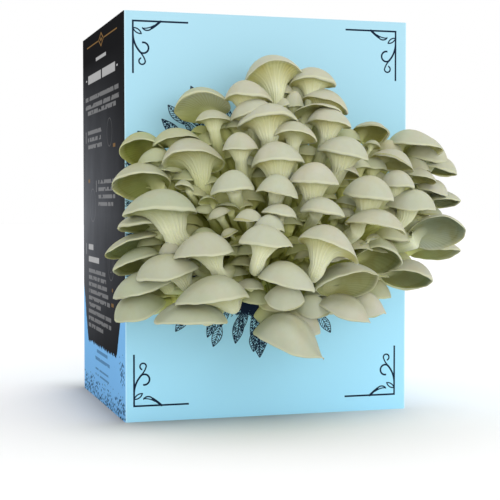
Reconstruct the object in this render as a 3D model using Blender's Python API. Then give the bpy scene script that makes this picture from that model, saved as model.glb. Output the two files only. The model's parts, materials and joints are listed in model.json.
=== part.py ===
"""Oyster mushroom grow kit, in metres with +Z up.

A glued carton holds a block of spawn, and a cluster of oyster mushrooms has grown out through the
window in the carton's front. The origin is the middle of the carton's bottom face, and the front
panel faces -Y. The carton, the block and the cluster's base are a node each, and each mushroom, a
cap and its stem grown as one, is a node of its own.
"""

import math
from dataclasses import dataclass

import bmesh
import bpy
from mathutils import Matrix, Vector
from mathutils.bvhtree import BVHTree

MM = 0.001

# Carton
CARTON_WIDTH = 165 * MM
CARTON_DEPTH = 137 * MM
CARTON_HEIGHT = 223 * MM
BOARD = 1.6 * MM
CREASE_RADIUS = 0.9 * MM
FLAP_EDGE_FROM_BACK = 15 * MM
FLAP_SEAM_WIDTH = 0.8 * MM
FLAP_SEAM_DEPTH = 0.7 * MM

# Window in the front panel
WINDOW_CENTRE_Z = 93 * MM
WINDOW_HALF_WIDTH = 38 * MM
WINDOW_HALF_HEIGHT = 27 * MM
WINDOW_SEGMENTS = 32

# Spawn block, in its tight film bag
BLOCK_WIDTH = 150 * MM
BLOCK_DEPTH = 124 * MM
BLOCK_HEIGHT = 196 * MM
BLOCK_EDGE_RADIUS = 9 * MM
GAP = 0.35 * MM

# Base of the cluster
BASE_LIP = 3 * MM
BASE_REACH = 34 * MM
BASE_SEGMENTS = 28
BASE_LUMP = 0.05
BASE_DOME_DEGREES = (15, 32, 50, 68)

# Caps: depths are shares of the half width, lift and arch of the dome's height, flesh of the width
TOP_RINGS = (0, 0.4, 0.75, 1)
FRONT_DEPTH = 0.75
BACK_DEPTH = 0.6
BACK_LIFT = 0.4
GILL_ARCH = 0.18
RIM_FLESH = 0.03
LARGE_CAP = 24 * MM
LARGE_SEGMENTS = 10
SMALL_SEGMENTS = 8

# Stems: the neck's radius and drop are shares of the cap's width
STEM_FLARE = 0.45
STEM_TO_SIDE = 0.45
NECK_RADIUS = 0.14
NECK_DROP = 0.22
STEM_BEND = 0.3
MID_STEM = 0.42
STEM_STEPS = 12
FOOT_RADIUS = 3.2 * MM
ROOT_BELOW_MIDDLE = 8 * MM
FOOT_SPACING = 0.23
FOOT_ROUNDS = 60
FOOT_FORWARD = 0.3
NEAREST_FOOT = 8 * MM
LARGEST_CRUMB = 16

FRONT_Y = -CARTON_DEPTH / 2
BASE_CENTRE = Vector((0, FRONT_Y, WINDOW_CENTRE_Z))
UP = Vector((0, 0, 1))

# The cluster is set out by eye: each cap is where it lines up with the front panel from this place.
EYE = Vector((-213.5 * MM, -737 * MM, 119.5 * MM))


@dataclass(frozen=True)
class Cap:
    """One mushroom, measured in millimetres where it is seen against the front panel.

    left, right: the two side corners of its rim, as X and Z.
    crown, rim: how high the crown and the front rim stand over the line between those corners.
    lean: degrees that the cap leans forward, and out: how far it stands in front of the panel.
    """

    left: tuple
    right: tuple
    crown: float
    rim: float
    lean: float
    out: float


CAPS = (
    # Upper caps, from the topmost down
    Cap((-15.5, 184.0), (20.0, 191.5), 13.5, 10.5, -38, 34),
    Cap((11.0, 185.5), (38.5, 186.0), 9.5, 4.5, -25, 38),
    Cap((17.0, 176.5), (46.0, 170.5), 10.5, 5.0, -20, 42),
    Cap((13.5, 168.5), (43.0, 170.0), 7.0, 5.5, -40, 48),
    Cap((20.5, 164.0), (49.0, 162.0), 10.5, 3.0, -18, 54),
    Cap((-27.0, 176.0), (1.0, 175.5), 11.0, 4.0, -12, 42),
    Cap((-23.0, 165.0), (-1.0, 174.5), 6.5, 0.0, 0, 46),
    Cap((-19.0, 161.0), (15.5, 166.0), 10.5, 5.5, -24, 52),
    Cap((1.0, 155.5), (27.5, 154.5), 10.0, 5.0, -28, 60),
    Cap((-11.0, 139.5), (20.0, 142.0), 13.0, 3.0, -3, 64),
    Cap((29.0, 149.5), (59.0, 144.0), 10.0, 0.5, 0, 62),
    Cap((10.5, 130.5), (40.5, 129.5), 12.0, 1.0, 3, 72),
    Cap((33.5, 136.0), (54.0, 134.0), 7.0, 3.5, -30, 60),
    # Left side
    Cap((-55.5, 168.5), (-23.0, 172.0), 12.5, 10.0, -50, 30),
    Cap((-43.0, 164.0), (-22.5, 165.0), 6.5, 1.5, -25, 40),
    Cap((-28.0, 148.0), (-6.0, 148.5), 10.5, 1.0, -5, 56),
    Cap((-62.5, 140.5), (-26.0, 141.0), 15.0, 7.5, -42, 50),
    Cap((-66.5, 150.5), (-40.5, 154.5), 8.0, 3.0, -25, 36),
    Cap((-85.0, 148.5), (-60.0, 147.0), 10.5, 4.5, -35, 28),
    Cap((-89.5, 128.0), (-57.5, 130.5), 12.5, 4.0, -28, 42),
    Cap((-84.0, 112.5), (-41.5, 114.0), 13.5, 2.5, -12, 58),
    Cap((-86.0, 106.0), (-58.5, 107.5), 7.0, 1.0, -10, 48),
    Cap((-94.0, 91.0), (-61.0, 101.5), 7.0, -1.0, -15, 40),
    Cap((-88.5, 82.5), (-62.5, 90.5), 8.5, 1.0, -15, 47),
    Cap((-76.0, 78.0), (-42.0, 83.5), 10.5, -3.0, 25, 64),
    Cap((-89.5, 67.0), (-53.0, 77.5), 10.5, -1.5, 15, 52),
    Cap((-89.0, 55.5), (-60.0, 65.5), 10.0, -4.5, 40, 44),
    # Middle
    Cap((-34.5, 124.0), (-9.0, 127.0), 12.0, 1.0, -3, 66),
    Cap((-8.5, 125.5), (16.5, 121.5), 12.0, 1.0, 0, 72),
    Cap((-21.5, 109.5), (-4.5, 109.5), 7.0, -0.5, 3, 74),
    Cap((-5.0, 114.0), (16.0, 110.5), 6.5, 1.0, -5, 77),
    Cap((-17.5, 97.5), (13.5, 94.5), 10.5, -0.5, 5, 86),
    Cap((-55.5, 89.0), (-20.5, 92.0), 13.0, -0.5, 5, 74),
    Cap((-54.5, 63.5), (-12.0, 67.0), 13.5, -0.5, 28, 76),
    Cap((-66.0, 54.5), (-25.0, 53.5), 11.5, -3.5, 45, 64),
    Cap((-7.5, 78.0), (26.0, 69.5), 12.5, -1.5, 22, 84),
    # Right side
    Cap((49.0, 160.5), (72.5, 159.0), 7.5, 2.5, -35, 40),
    Cap((71.0, 152.0), (108.0, 145.5), 12.0, 4.5, -23, 38),
    Cap((59.5, 145.0), (87.5, 138.0), 9.5, 5.5, -35, 52),
    Cap((89.0, 141.5), (115.5, 136.0), 8.5, -0.5, -20, 33),
    Cap((65.5, 128.5), (87.5, 128.5), 9.5, 0.5, 5, 58),
    Cap((80.0, 135.0), (102.0, 131.5), 7.0, 2.0, -35, 45),
    Cap((88.0, 129.0), (109.0, 123.0), 7.5, -1.0, -15, 41),
    Cap((94.0, 119.0), (116.5, 120.5), 7.5, 1.0, -25, 40),
    Cap((44.0, 124.5), (75.0, 121.0), 12.0, -0.5, 5, 72),
    Cap((69.0, 118.0), (101.5, 115.5), 10.5, -1.5, 10, 60),
    Cap((18.0, 115.0), (45.0, 111.5), 9.0, 1.0, -3, 78),
    Cap((45.0, 107.5), (82.0, 101.5), 12.0, 2.5, -8, 78),
    Cap((16.5, 98.5), (53.0, 85.0), 14.5, 5.5, -15, 88),
    Cap((84.5, 98.0), (121.5, 103.0), 11.5, 8.0, -40, 50),
    Cap((84.5, 92.5), (116.0, 92.0), 4.5, -3.5, -8, 44),
    Cap((64.5, 77.0), (99.5, 73.5), 12.0, 5.5, -30, 54),
    Cap((27.5, 70.0), (66.0, 77.5), 13.0, 5.5, -25, 78),
    # Lowest caps, whose stems bend up to the window
    Cap((28.5, 64.0), (60.5, 50.5), 9.0, -3.5, 42, 70),
    Cap((42.0, 60.5), (70.5, 55.5), 10.5, -4.0, 45, 60),
    Cap((-3.5, 66.0), (21.0, 63.5), 9.0, -6.0, 42, 76),
    Cap((-10.0, 48.0), (32.5, 30.0), 15.5, -4.0, 52, 60),
)


def finish(name, colour, roughness):
    """A plain finish for one kind of surface."""
    made = bpy.data.materials.new(name)
    made.use_nodes = True
    shader = made.node_tree.nodes["Principled BSDF"]
    shader.inputs["Base Color"].default_value = (*colour, 1)
    shader.inputs["Roughness"].default_value = roughness
    return made


def node(name, bm, material):
    """Makes a closed bmesh the object of one node."""
    bmesh.ops.triangulate(bm, faces=bm.faces)
    bmesh.ops.recalc_face_normals(bm, faces=bm.faces)
    mesh = bpy.data.meshes.new(name)
    bm.to_mesh(mesh)
    bm.free()
    mesh.materials.append(material)
    made = bpy.data.objects.new(name, mesh)
    bpy.context.scene.collection.objects.link(made)
    return made


def box(low, high):
    """A bmesh box between two corners."""
    bm = bmesh.new()
    size = Vector(high) - Vector(low)
    bmesh.ops.create_cube(bm, size=1)
    bmesh.ops.scale(bm, verts=bm.verts, vec=size)
    bmesh.ops.translate(bm, verts=bm.verts, vec=(Vector(low) + Vector(high)) / 2)
    return bm


def bevel_edges(bm, edges, radius, segments):
    """Rounds some edges of a bmesh."""
    bmesh.ops.bevel(
        bm, geom=edges, offset=radius, segments=segments, profile=0.5, affect="EDGES", material=-1
    )


def upright_edges(bm):
    """The edges of a bmesh that run up."""
    return [edge for edge in bm.edges if abs((edge.verts[0].co - edge.verts[1].co).normalized().z) > 0.9]


def subtract(target, cutter):
    """Cuts one object's shape from another with a live Boolean, and keeps the cutter as a guide."""
    cutter.hide_render = True
    cutter.display_type = "WIRE"
    cut = target.modifiers.new("cut_" + cutter.name, "BOOLEAN")
    cut.operation = "DIFFERENCE"
    cut.solver = "EXACT"
    cut.object = cutter


def make_carton(board):
    """The folded carton: a hollow of board, with the window in its front and glued flaps at both ends."""
    half_width = CARTON_WIDTH / 2
    half_depth = CARTON_DEPTH / 2
    outer = box((-half_width, -half_depth, 0), (half_width, half_depth, CARTON_HEIGHT))
    bevel_edges(outer, upright_edges(outer), CREASE_RADIUS, 2)
    carton = node("carton", outer, board)

    hollow = box(
        (BOARD - half_width, BOARD - half_depth, BOARD),
        (half_width - BOARD, half_depth - BOARD, CARTON_HEIGHT - BOARD),
    )
    subtract(carton, node("carton_hollow", hollow, board))

    opening = bmesh.new()
    bmesh.ops.create_cone(
        opening, cap_ends=True, segments=WINDOW_SEGMENTS, radius1=1, radius2=1, depth=12 * MM
    )
    bmesh.ops.scale(opening, verts=opening.verts, vec=(WINDOW_HALF_WIDTH, WINDOW_HALF_HEIGHT, 1))
    bmesh.ops.rotate(opening, verts=opening.verts, matrix=Matrix.Rotation(math.pi / 2, 3, "X"))
    bmesh.ops.translate(opening, verts=opening.verts, vec=BASE_CENTRE)
    subtract(carton, node("window_opening", opening, board))

    seam_y = half_depth - FLAP_EDGE_FROM_BACK
    reach = half_width + 1 * MM
    for name, low, high in (
        ("top_seam", CARTON_HEIGHT - FLAP_SEAM_DEPTH, CARTON_HEIGHT + 1 * MM),
        ("bottom_seam", -1 * MM, FLAP_SEAM_DEPTH),
    ):
        seam = box((-reach, seam_y, low), (reach, seam_y + FLAP_SEAM_WIDTH, high))
        subtract(carton, node(name, seam, board))
    return carton


def make_block(spawn):
    """The block of spawn that stands in the carton, against the inside of the front panel."""
    front = FRONT_Y + BOARD + GAP
    bm = box(
        (-BLOCK_WIDTH / 2, front, BOARD + GAP),
        (BLOCK_WIDTH / 2, front + BLOCK_DEPTH, BOARD + GAP + BLOCK_HEIGHT),
    )
    bevel_edges(bm, list(bm.edges), BLOCK_EDGE_RADIUS, 2)
    return node("substrate_block", bm, spawn)


def base_radius(direction):
    """How far the base stands out along a direction, as a share of its smooth ellipsoid."""
    x, y, z = direction
    return 1 + BASE_LUMP * math.sin(9 * x + 1) * math.sin(8 * z + 2) * abs(y)


def on_base(direction):
    """The point of the base's surface in a direction, before its lumps."""
    return BASE_CENTRE + Vector(
        (
            direction.x * (WINDOW_HALF_WIDTH + BASE_LIP),
            direction.y * BASE_REACH,
            direction.z * (WINDOW_HALF_HEIGHT + BASE_LIP),
        )
    )


def base_normal(direction):
    """The outward direction of the base's smooth surface where on_base puts it."""
    return Vector(
        (
            direction.x / (WINDOW_HALF_WIDTH + BASE_LIP),
            direction.y / BASE_REACH,
            direction.z / (WINDOW_HALF_HEIGHT + BASE_LIP),
        )
    ).normalized()


def spun(heights, segments):
    """An upright tube of unit radius with a ring at each height, closed to a loop by spin."""
    bm = bmesh.new()
    column = [bm.verts.new((1, 0, height)) for height in heights]
    sides = [bm.edges.new(pair) for pair in zip(column, column[1:])]
    bmesh.ops.spin(
        bm,
        geom=column + sides,
        cent=(0, 0, 0),
        axis=UP,
        angle=math.tau,
        steps=segments,
        use_merge=True,
    )
    return bm


def shape_rings(bm, place):
    """Moves each vertex of a spun tube to the place that its angle and ring number give."""
    for vert in bm.verts:
        vert.co = place(math.atan2(vert.co.y, vert.co.x), round(vert.co.z))
    bmesh.ops.remove_doubles(bm, verts=bm.verts, dist=1e-6)


def make_base(flesh):
    """The cluster's base: a plug that fills the window and a lumpy dome in front of it."""
    rings = (
        (0.0, BOARD),
        (WINDOW_HALF_WIDTH - GAP, BOARD),
        (WINDOW_HALF_WIDTH - GAP, -GAP),
        (WINDOW_HALF_WIDTH + BASE_LIP, -GAP),
    )
    slopes = [math.radians(degrees) for degrees in (*BASE_DOME_DEGREES, 90)]

    def place(angle, ring):
        x = math.cos(angle)
        z = math.sin(angle)
        if ring < len(rings):
            radius, y = rings[ring]
            narrower = max(0, radius - (WINDOW_HALF_WIDTH - WINDOW_HALF_HEIGHT))
            return BASE_CENTRE + Vector((x * radius, y, z * narrower))
        slope = slopes[ring - len(rings)]
        direction = Vector((x * math.cos(slope), -math.sin(slope), z * math.cos(slope)))
        return BASE_CENTRE + (on_base(direction) - BASE_CENTRE) * base_radius(direction)

    bm = spun(range(len(rings) + len(slopes)), BASE_SEGMENTS)
    shape_rings(bm, place)
    return node("cluster_base", bm, flesh)


class Mushroom:
    """One mushroom of the cluster in metres: its cap's frame, its stem's path and its rings."""

    def __init__(self, number, cap):
        self.name = f"mushroom_{number:02d}"
        share = 1 - cap.out * MM / (FRONT_Y - EYE.y)
        left, right = (self.in_front(point, cap.out) for point in (cap.left, cap.right))
        self.centre = (left + right) / 2
        away = (self.centre - EYE).normalized()
        across = away.cross(UP).normalized()
        upward = across.cross(away)
        span = right - left
        roll = math.atan2(span.dot(upward), span.dot(across))
        lean = math.radians(cap.lean)
        self.half_width = math.hypot(span.dot(upward), span.dot(across)) / 2
        self.front_depth = FRONT_DEPTH * self.half_width
        self.back_depth = BACK_DEPTH * self.half_width
        self.across = across * math.cos(roll) + upward * math.sin(roll)
        level_up = upward * math.cos(roll) - across * math.sin(roll)
        self.upward = level_up * math.cos(lean) - away * math.sin(lean)
        self.away = away * math.cos(lean) + level_up * math.sin(lean)
        self.set_crown(cap.crown * MM * share, cap.rim * MM * share, lean)
        self.segments = LARGE_SEGMENTS if self.half_width * 2 > LARGE_CAP else SMALL_SEGMENTS

    def in_front(self, point, out):
        """The place on the line of sight through a point of the panel, so far in front of the panel."""
        seen = Vector((point[0] * MM, FRONT_Y, point[1] * MM))
        return seen + (EYE - seen) * (out * MM / (FRONT_Y - EYE.y))

    def set_crown(self, crown, rim, lean):
        """Works out the dome's height and how far the front rim curls up, from what is seen of them."""
        hidden = (self.back_depth if lean > 0 else self.front_depth) * math.sin(lean)
        tall = (crown + math.sqrt(max(crown * crown - hidden * hidden, 0))) / 2
        self.height = tall / math.cos(lean)
        self.curl = (rim + self.front_depth * math.sin(lean)) / math.cos(lean)

    def in_cap(self, x, y, z):
        """A point of the cap's own frame in the object's."""
        return self.centre + self.across * x + self.away * y + self.upward * z

    def cap_surface(self, x, y, under):
        """A point on the cap's top, or on its gills, at a share of its half width and of its depth."""
        inward = 1 - min(x * x + y * y, 1)
        curl = self.curl * y * y * (1 - y) / 2
        lift = self.height * BACK_LIFT * y * y * (1 + y) / 2
        dome = self.height * inward * (GILL_ARCH if under else 1)
        height = curl + lift + dome - under * 2 * self.half_width * RIM_FLESH
        return self.in_cap(x * self.half_width, y * (self.front_depth if y < 0 else self.back_depth), height)

    def flare_ring(self, angle):
        """A point of the ring where the gills turn down to run along the stem."""
        x = STEM_FLARE * math.cos(angle) + (1 - STEM_FLARE) * self.stem_x
        y = STEM_FLARE * math.sin(angle) + (1 - STEM_FLARE) * self.stem_y
        return self.cap_surface(x, y, 1)

    def plant(self, direction):
        """Roots the stem at a place of the base, and bends it from there to the cap's near side."""
        foot_normal = base_normal(direction)
        foot = on_base(direction) + foot_normal * (BASE_LUMP * BASE_REACH + GAP)
        line = foot - self.centre
        side = Vector((line.dot(self.across), line.dot(self.away))) / self.half_width
        self.stem_x, self.stem_y = side.normalized() * STEM_TO_SIDE
        self.neck = 2 * self.half_width * NECK_RADIUS
        top = self.cap_surface((1 - STEM_FLARE) * self.stem_x, (1 - STEM_FLARE) * self.stem_y, 1)
        collar = top - self.upward * (2 * self.half_width * NECK_DROP)
        reach = (foot - collar).length
        towards = (foot - collar).normalized()
        start = (towards - self.upward).normalized()
        bend = reach * STEM_BEND
        self.path = (collar, collar + start * bend, foot + foot_normal * bend, foot)

    def stem_line(self, s):
        """The stem's centre and direction at a share of its length."""
        a, b, c, d = self.path
        r = 1 - s
        place = a * r**3 + b * 3 * r * r * s + c * 3 * r * s * s + d * s**3
        along = (b - a) * r * r + (c - b) * 2 * r * s + (d - c) * s * s
        return place, along.normalized()

    def stem_point(self, angle, s, radius):
        """A point of the stem's skin. Its rings turn with the stem and don't twist around it."""
        spoke = self.across * math.cos(angle) + self.away * math.sin(angle)
        before = -self.upward
        for step in range(STEM_STEPS + 1):
            place, along = self.stem_line(s * step / STEM_STEPS)
            spoke = before.rotation_difference(along) @ spoke
            before = along
        return place + spoke * radius

    def ring_point(self, angle, ring):
        """A point of the whole mushroom, ring by ring from the crown to the foot."""
        if ring < len(TOP_RINGS):
            t = TOP_RINGS[ring]
            return self.cap_surface(t * math.cos(angle), t * math.sin(angle), 0)
        lower = ring - len(TOP_RINGS)
        if lower == 0:
            return self.flare_ring(angle)
        foot = min(self.neck, FOOT_RADIUS)
        stations = ((0, self.neck), (MID_STEM, (self.neck + foot) / 2), (1, foot), (1, 0))
        return self.stem_point(angle, *stations[lower - 1])

    def build(self, flesh):
        """Makes the mushroom's node."""
        bm = spun(range(len(TOP_RINGS) + 5), self.segments)
        shape_rings(bm, self.ring_point)
        return node(self.name, bm, flesh)


def spread_feet(mushrooms):
    """Directions from the base's centre for all the feet, pushed apart until the stems have room."""
    feet = []
    for mushroom in mushrooms:
        line = mushroom.centre - BASE_CENTRE - UP * ROOT_BELOW_MIDDLE
        feet.append(Vector((line.x, min(line.y, -NEAREST_FOOT), line.z)).normalized())
    for _ in range(FOOT_ROUNDS):
        for i, first in enumerate(feet):
            for second in feet[i + 1 :]:
                apart = first - second
                short = FOOT_SPACING - apart.length
                if short > 0:
                    push = apart.normalized() * short / 2
                    first += push
                    second -= push
        for foot in feet:
            foot.y = min(foot.y, -FOOT_FORWARD)
            foot.normalize()
    return feet


def closed_shape(obj):
    """An object's mesh as a bmesh."""
    bm = bmesh.new()
    bm.from_mesh(obj.data)
    return bm


def touches(first, second):
    """Whether two objects' surfaces cross."""
    trees = []
    for obj in (first, second):
        bm = closed_shape(obj)
        trees.append(BVHTree.FromBMesh(bm))
        bm.free()
    return bool(trees[0].overlap(trees[1]))


def pieces_of(bm):
    """The faces of a bmesh, as lists of those that hang together, the largest first."""
    left = set(bm.faces)
    pieces = []
    while left:
        grown = [left.pop()]
        for face in grown:
            for edge in face.edges:
                for other in edge.link_faces:
                    if other in left:
                        left.remove(other)
                        grown.append(other)
        pieces.append(grown)
    return sorted(pieces, key=len, reverse=True)


def cut_back(obj, neighbour):
    """What is left of an object beside a neighbour that keeps its shape, and its number of pieces."""
    room = closed_shape(neighbour)
    for vert in room.verts:
        vert.co += vert.normal * GAP
    cutter = node("room", room, neighbour.data.materials[0])
    subtract(obj, cutter)
    bpy.context.view_layer.update()
    graph = bpy.context.evaluated_depsgraph_get()
    left = bpy.data.meshes.new_from_object(obj.evaluated_get(graph))
    obj.modifiers.clear()
    bpy.data.objects.remove(cutter)
    bm = bmesh.new()
    bm.from_mesh(left)
    bmesh.ops.remove_doubles(bm, verts=bm.verts, dist=2e-5)
    pieces = pieces_of(bm)
    loose = [face for piece in pieces[1:] for face in piece]
    bmesh.ops.delete(bm, geom=loose, context="FACES")
    bm.to_mesh(left)
    bm.free()
    return left, [len(piece) for piece in pieces]


def make_room(mushrooms):
    """Where two mushrooms press together, the one that stands further back gives way."""
    standing = []
    for mushroom in sorted(mushrooms, key=lambda each: each["reach"]):
        for other in standing:
            if not touches(mushroom, other):
                continue
            left, sizes = cut_back(mushroom, other)
            if len(sizes) > 1 and sizes[1] > LARGEST_CRUMB:
                other_left, other_sizes = cut_back(other, mushroom)
                if len(other_sizes) == 1 or other_sizes[1] < sizes[1]:
                    other.data = other_left
                    continue
            mushroom.data = left
        standing.append(mushroom)


def main():
    """Clears the scene and builds every piece."""
    for old in list(bpy.data.objects):
        bpy.data.objects.remove(old)
    board = finish("printed_board", (0.42, 0.77, 0.90), 0.45)
    spawn = finish("spawn_in_film", (0.30, 0.19, 0.10), 0.35)
    flesh = finish("mushroom_flesh", (0.55, 0.56, 0.42), 0.55)
    make_carton(board)
    make_block(spawn)
    make_base(flesh)
    mushrooms = [Mushroom(number, cap) for number, cap in enumerate(CAPS, 1)]
    for mushroom, foot in zip(mushrooms, spread_feet(mushrooms)):
        mushroom.plant(foot)
    grown = []
    for mushroom in mushrooms:
        made = mushroom.build(flesh)
        made["reach"] = mushroom.centre.y
        grown.append(made)
    make_room(grown)
    for obj in bpy.context.scene.objects:
        if obj.name.startswith(("mushroom", "cluster")):
            obj.data.shade_smooth()


if __name__ == "__main__":
    main()
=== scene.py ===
"""The looks of an oyster mushroom grow kit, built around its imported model.

The carton keeps its modelled shape and gets its print. The spawn block gets its finish. The
cluster's base and every mushroom are replaced by detailed meshes in the same places: caps with a
rolled margin, gills that run down the stem, and fibrous stems that grow out of a lumpy base.
Lengths are in metres, and sizes given in millimetres are multiplied by MM.
"""

import itertools
import json
import logging
import math
from collections.abc import Iterable, Iterator
from dataclasses import dataclass, field
from enum import Enum
from functools import reduce

import bmesh
import bpy
import numpy as np
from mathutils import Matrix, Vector

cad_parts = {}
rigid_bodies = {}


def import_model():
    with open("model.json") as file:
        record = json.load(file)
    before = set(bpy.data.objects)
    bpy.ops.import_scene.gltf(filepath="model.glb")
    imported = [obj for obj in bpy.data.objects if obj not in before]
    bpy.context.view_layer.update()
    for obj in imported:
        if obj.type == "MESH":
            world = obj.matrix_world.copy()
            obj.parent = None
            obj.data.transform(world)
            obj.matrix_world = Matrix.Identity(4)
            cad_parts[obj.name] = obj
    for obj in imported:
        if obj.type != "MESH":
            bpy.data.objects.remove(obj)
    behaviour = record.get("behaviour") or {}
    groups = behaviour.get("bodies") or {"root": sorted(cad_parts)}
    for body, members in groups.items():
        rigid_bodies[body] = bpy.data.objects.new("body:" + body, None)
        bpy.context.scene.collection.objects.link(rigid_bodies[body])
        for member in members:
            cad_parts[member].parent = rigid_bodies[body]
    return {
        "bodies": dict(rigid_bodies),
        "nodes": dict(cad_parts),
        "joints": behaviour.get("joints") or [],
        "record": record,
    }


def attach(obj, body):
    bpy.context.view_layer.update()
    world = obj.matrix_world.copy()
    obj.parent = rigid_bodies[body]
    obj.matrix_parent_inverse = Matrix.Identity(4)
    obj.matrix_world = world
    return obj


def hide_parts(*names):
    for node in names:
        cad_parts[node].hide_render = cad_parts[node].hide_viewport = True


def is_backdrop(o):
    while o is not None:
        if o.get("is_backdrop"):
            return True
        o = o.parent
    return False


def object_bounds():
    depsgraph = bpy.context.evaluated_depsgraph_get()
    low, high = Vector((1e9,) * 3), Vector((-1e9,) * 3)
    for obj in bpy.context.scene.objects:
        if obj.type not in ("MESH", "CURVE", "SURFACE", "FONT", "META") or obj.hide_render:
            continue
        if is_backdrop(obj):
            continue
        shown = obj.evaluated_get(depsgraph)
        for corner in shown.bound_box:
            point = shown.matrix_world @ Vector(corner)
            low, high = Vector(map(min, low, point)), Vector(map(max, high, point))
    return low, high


LOG = logging.getLogger("grow_kit")
MM = 0.001
UP = Vector((0, 0, 1))

Point = tuple[float, float]
Triple = tuple[float, float, float]
Bar = tuple[float, float, float, float]

# Carton and window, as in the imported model
CARTON_WIDTH = 165 * MM
CARTON_DEPTH = 137 * MM
CARTON_HEIGHT = 223 * MM
WINDOW_CENTRE_Z = 93 * MM
WINDOW_HALF_WIDTH = 38 * MM
WINDOW_HALF_HEIGHT = 27 * MM
GAP = 0.35 * MM
FRONT_Y = -CARTON_DEPTH / 2
BASE_CENTRE = Vector((0, FRONT_Y, WINDOW_CENTRE_Z))

# The camera, and the place from which the caps line up with the front panel
EYE = Vector((-213.5 * MM, -737 * MM, 119.5 * MM))
CAMERA_YAW = math.radians(16.80)
CAMERA_PITCH = math.radians(-2.156)
CAMERA_LENS = 90.27
CAMERA_SENSOR = 36.0


@dataclass(frozen=True)
class Cap:
    """One mushroom's cap, measured in millimetres where it is seen against the front panel.

    left, right: the two side corners of its rim, as X and Z.
    crown, rim: how high the crown and the front rim stand over the line between those corners.
    lean: degrees that the cap leans forward, and out: how far it stands in front of the panel.
    """

    left: Point
    right: Point
    crown: float
    rim: float
    lean: float
    out: float


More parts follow.
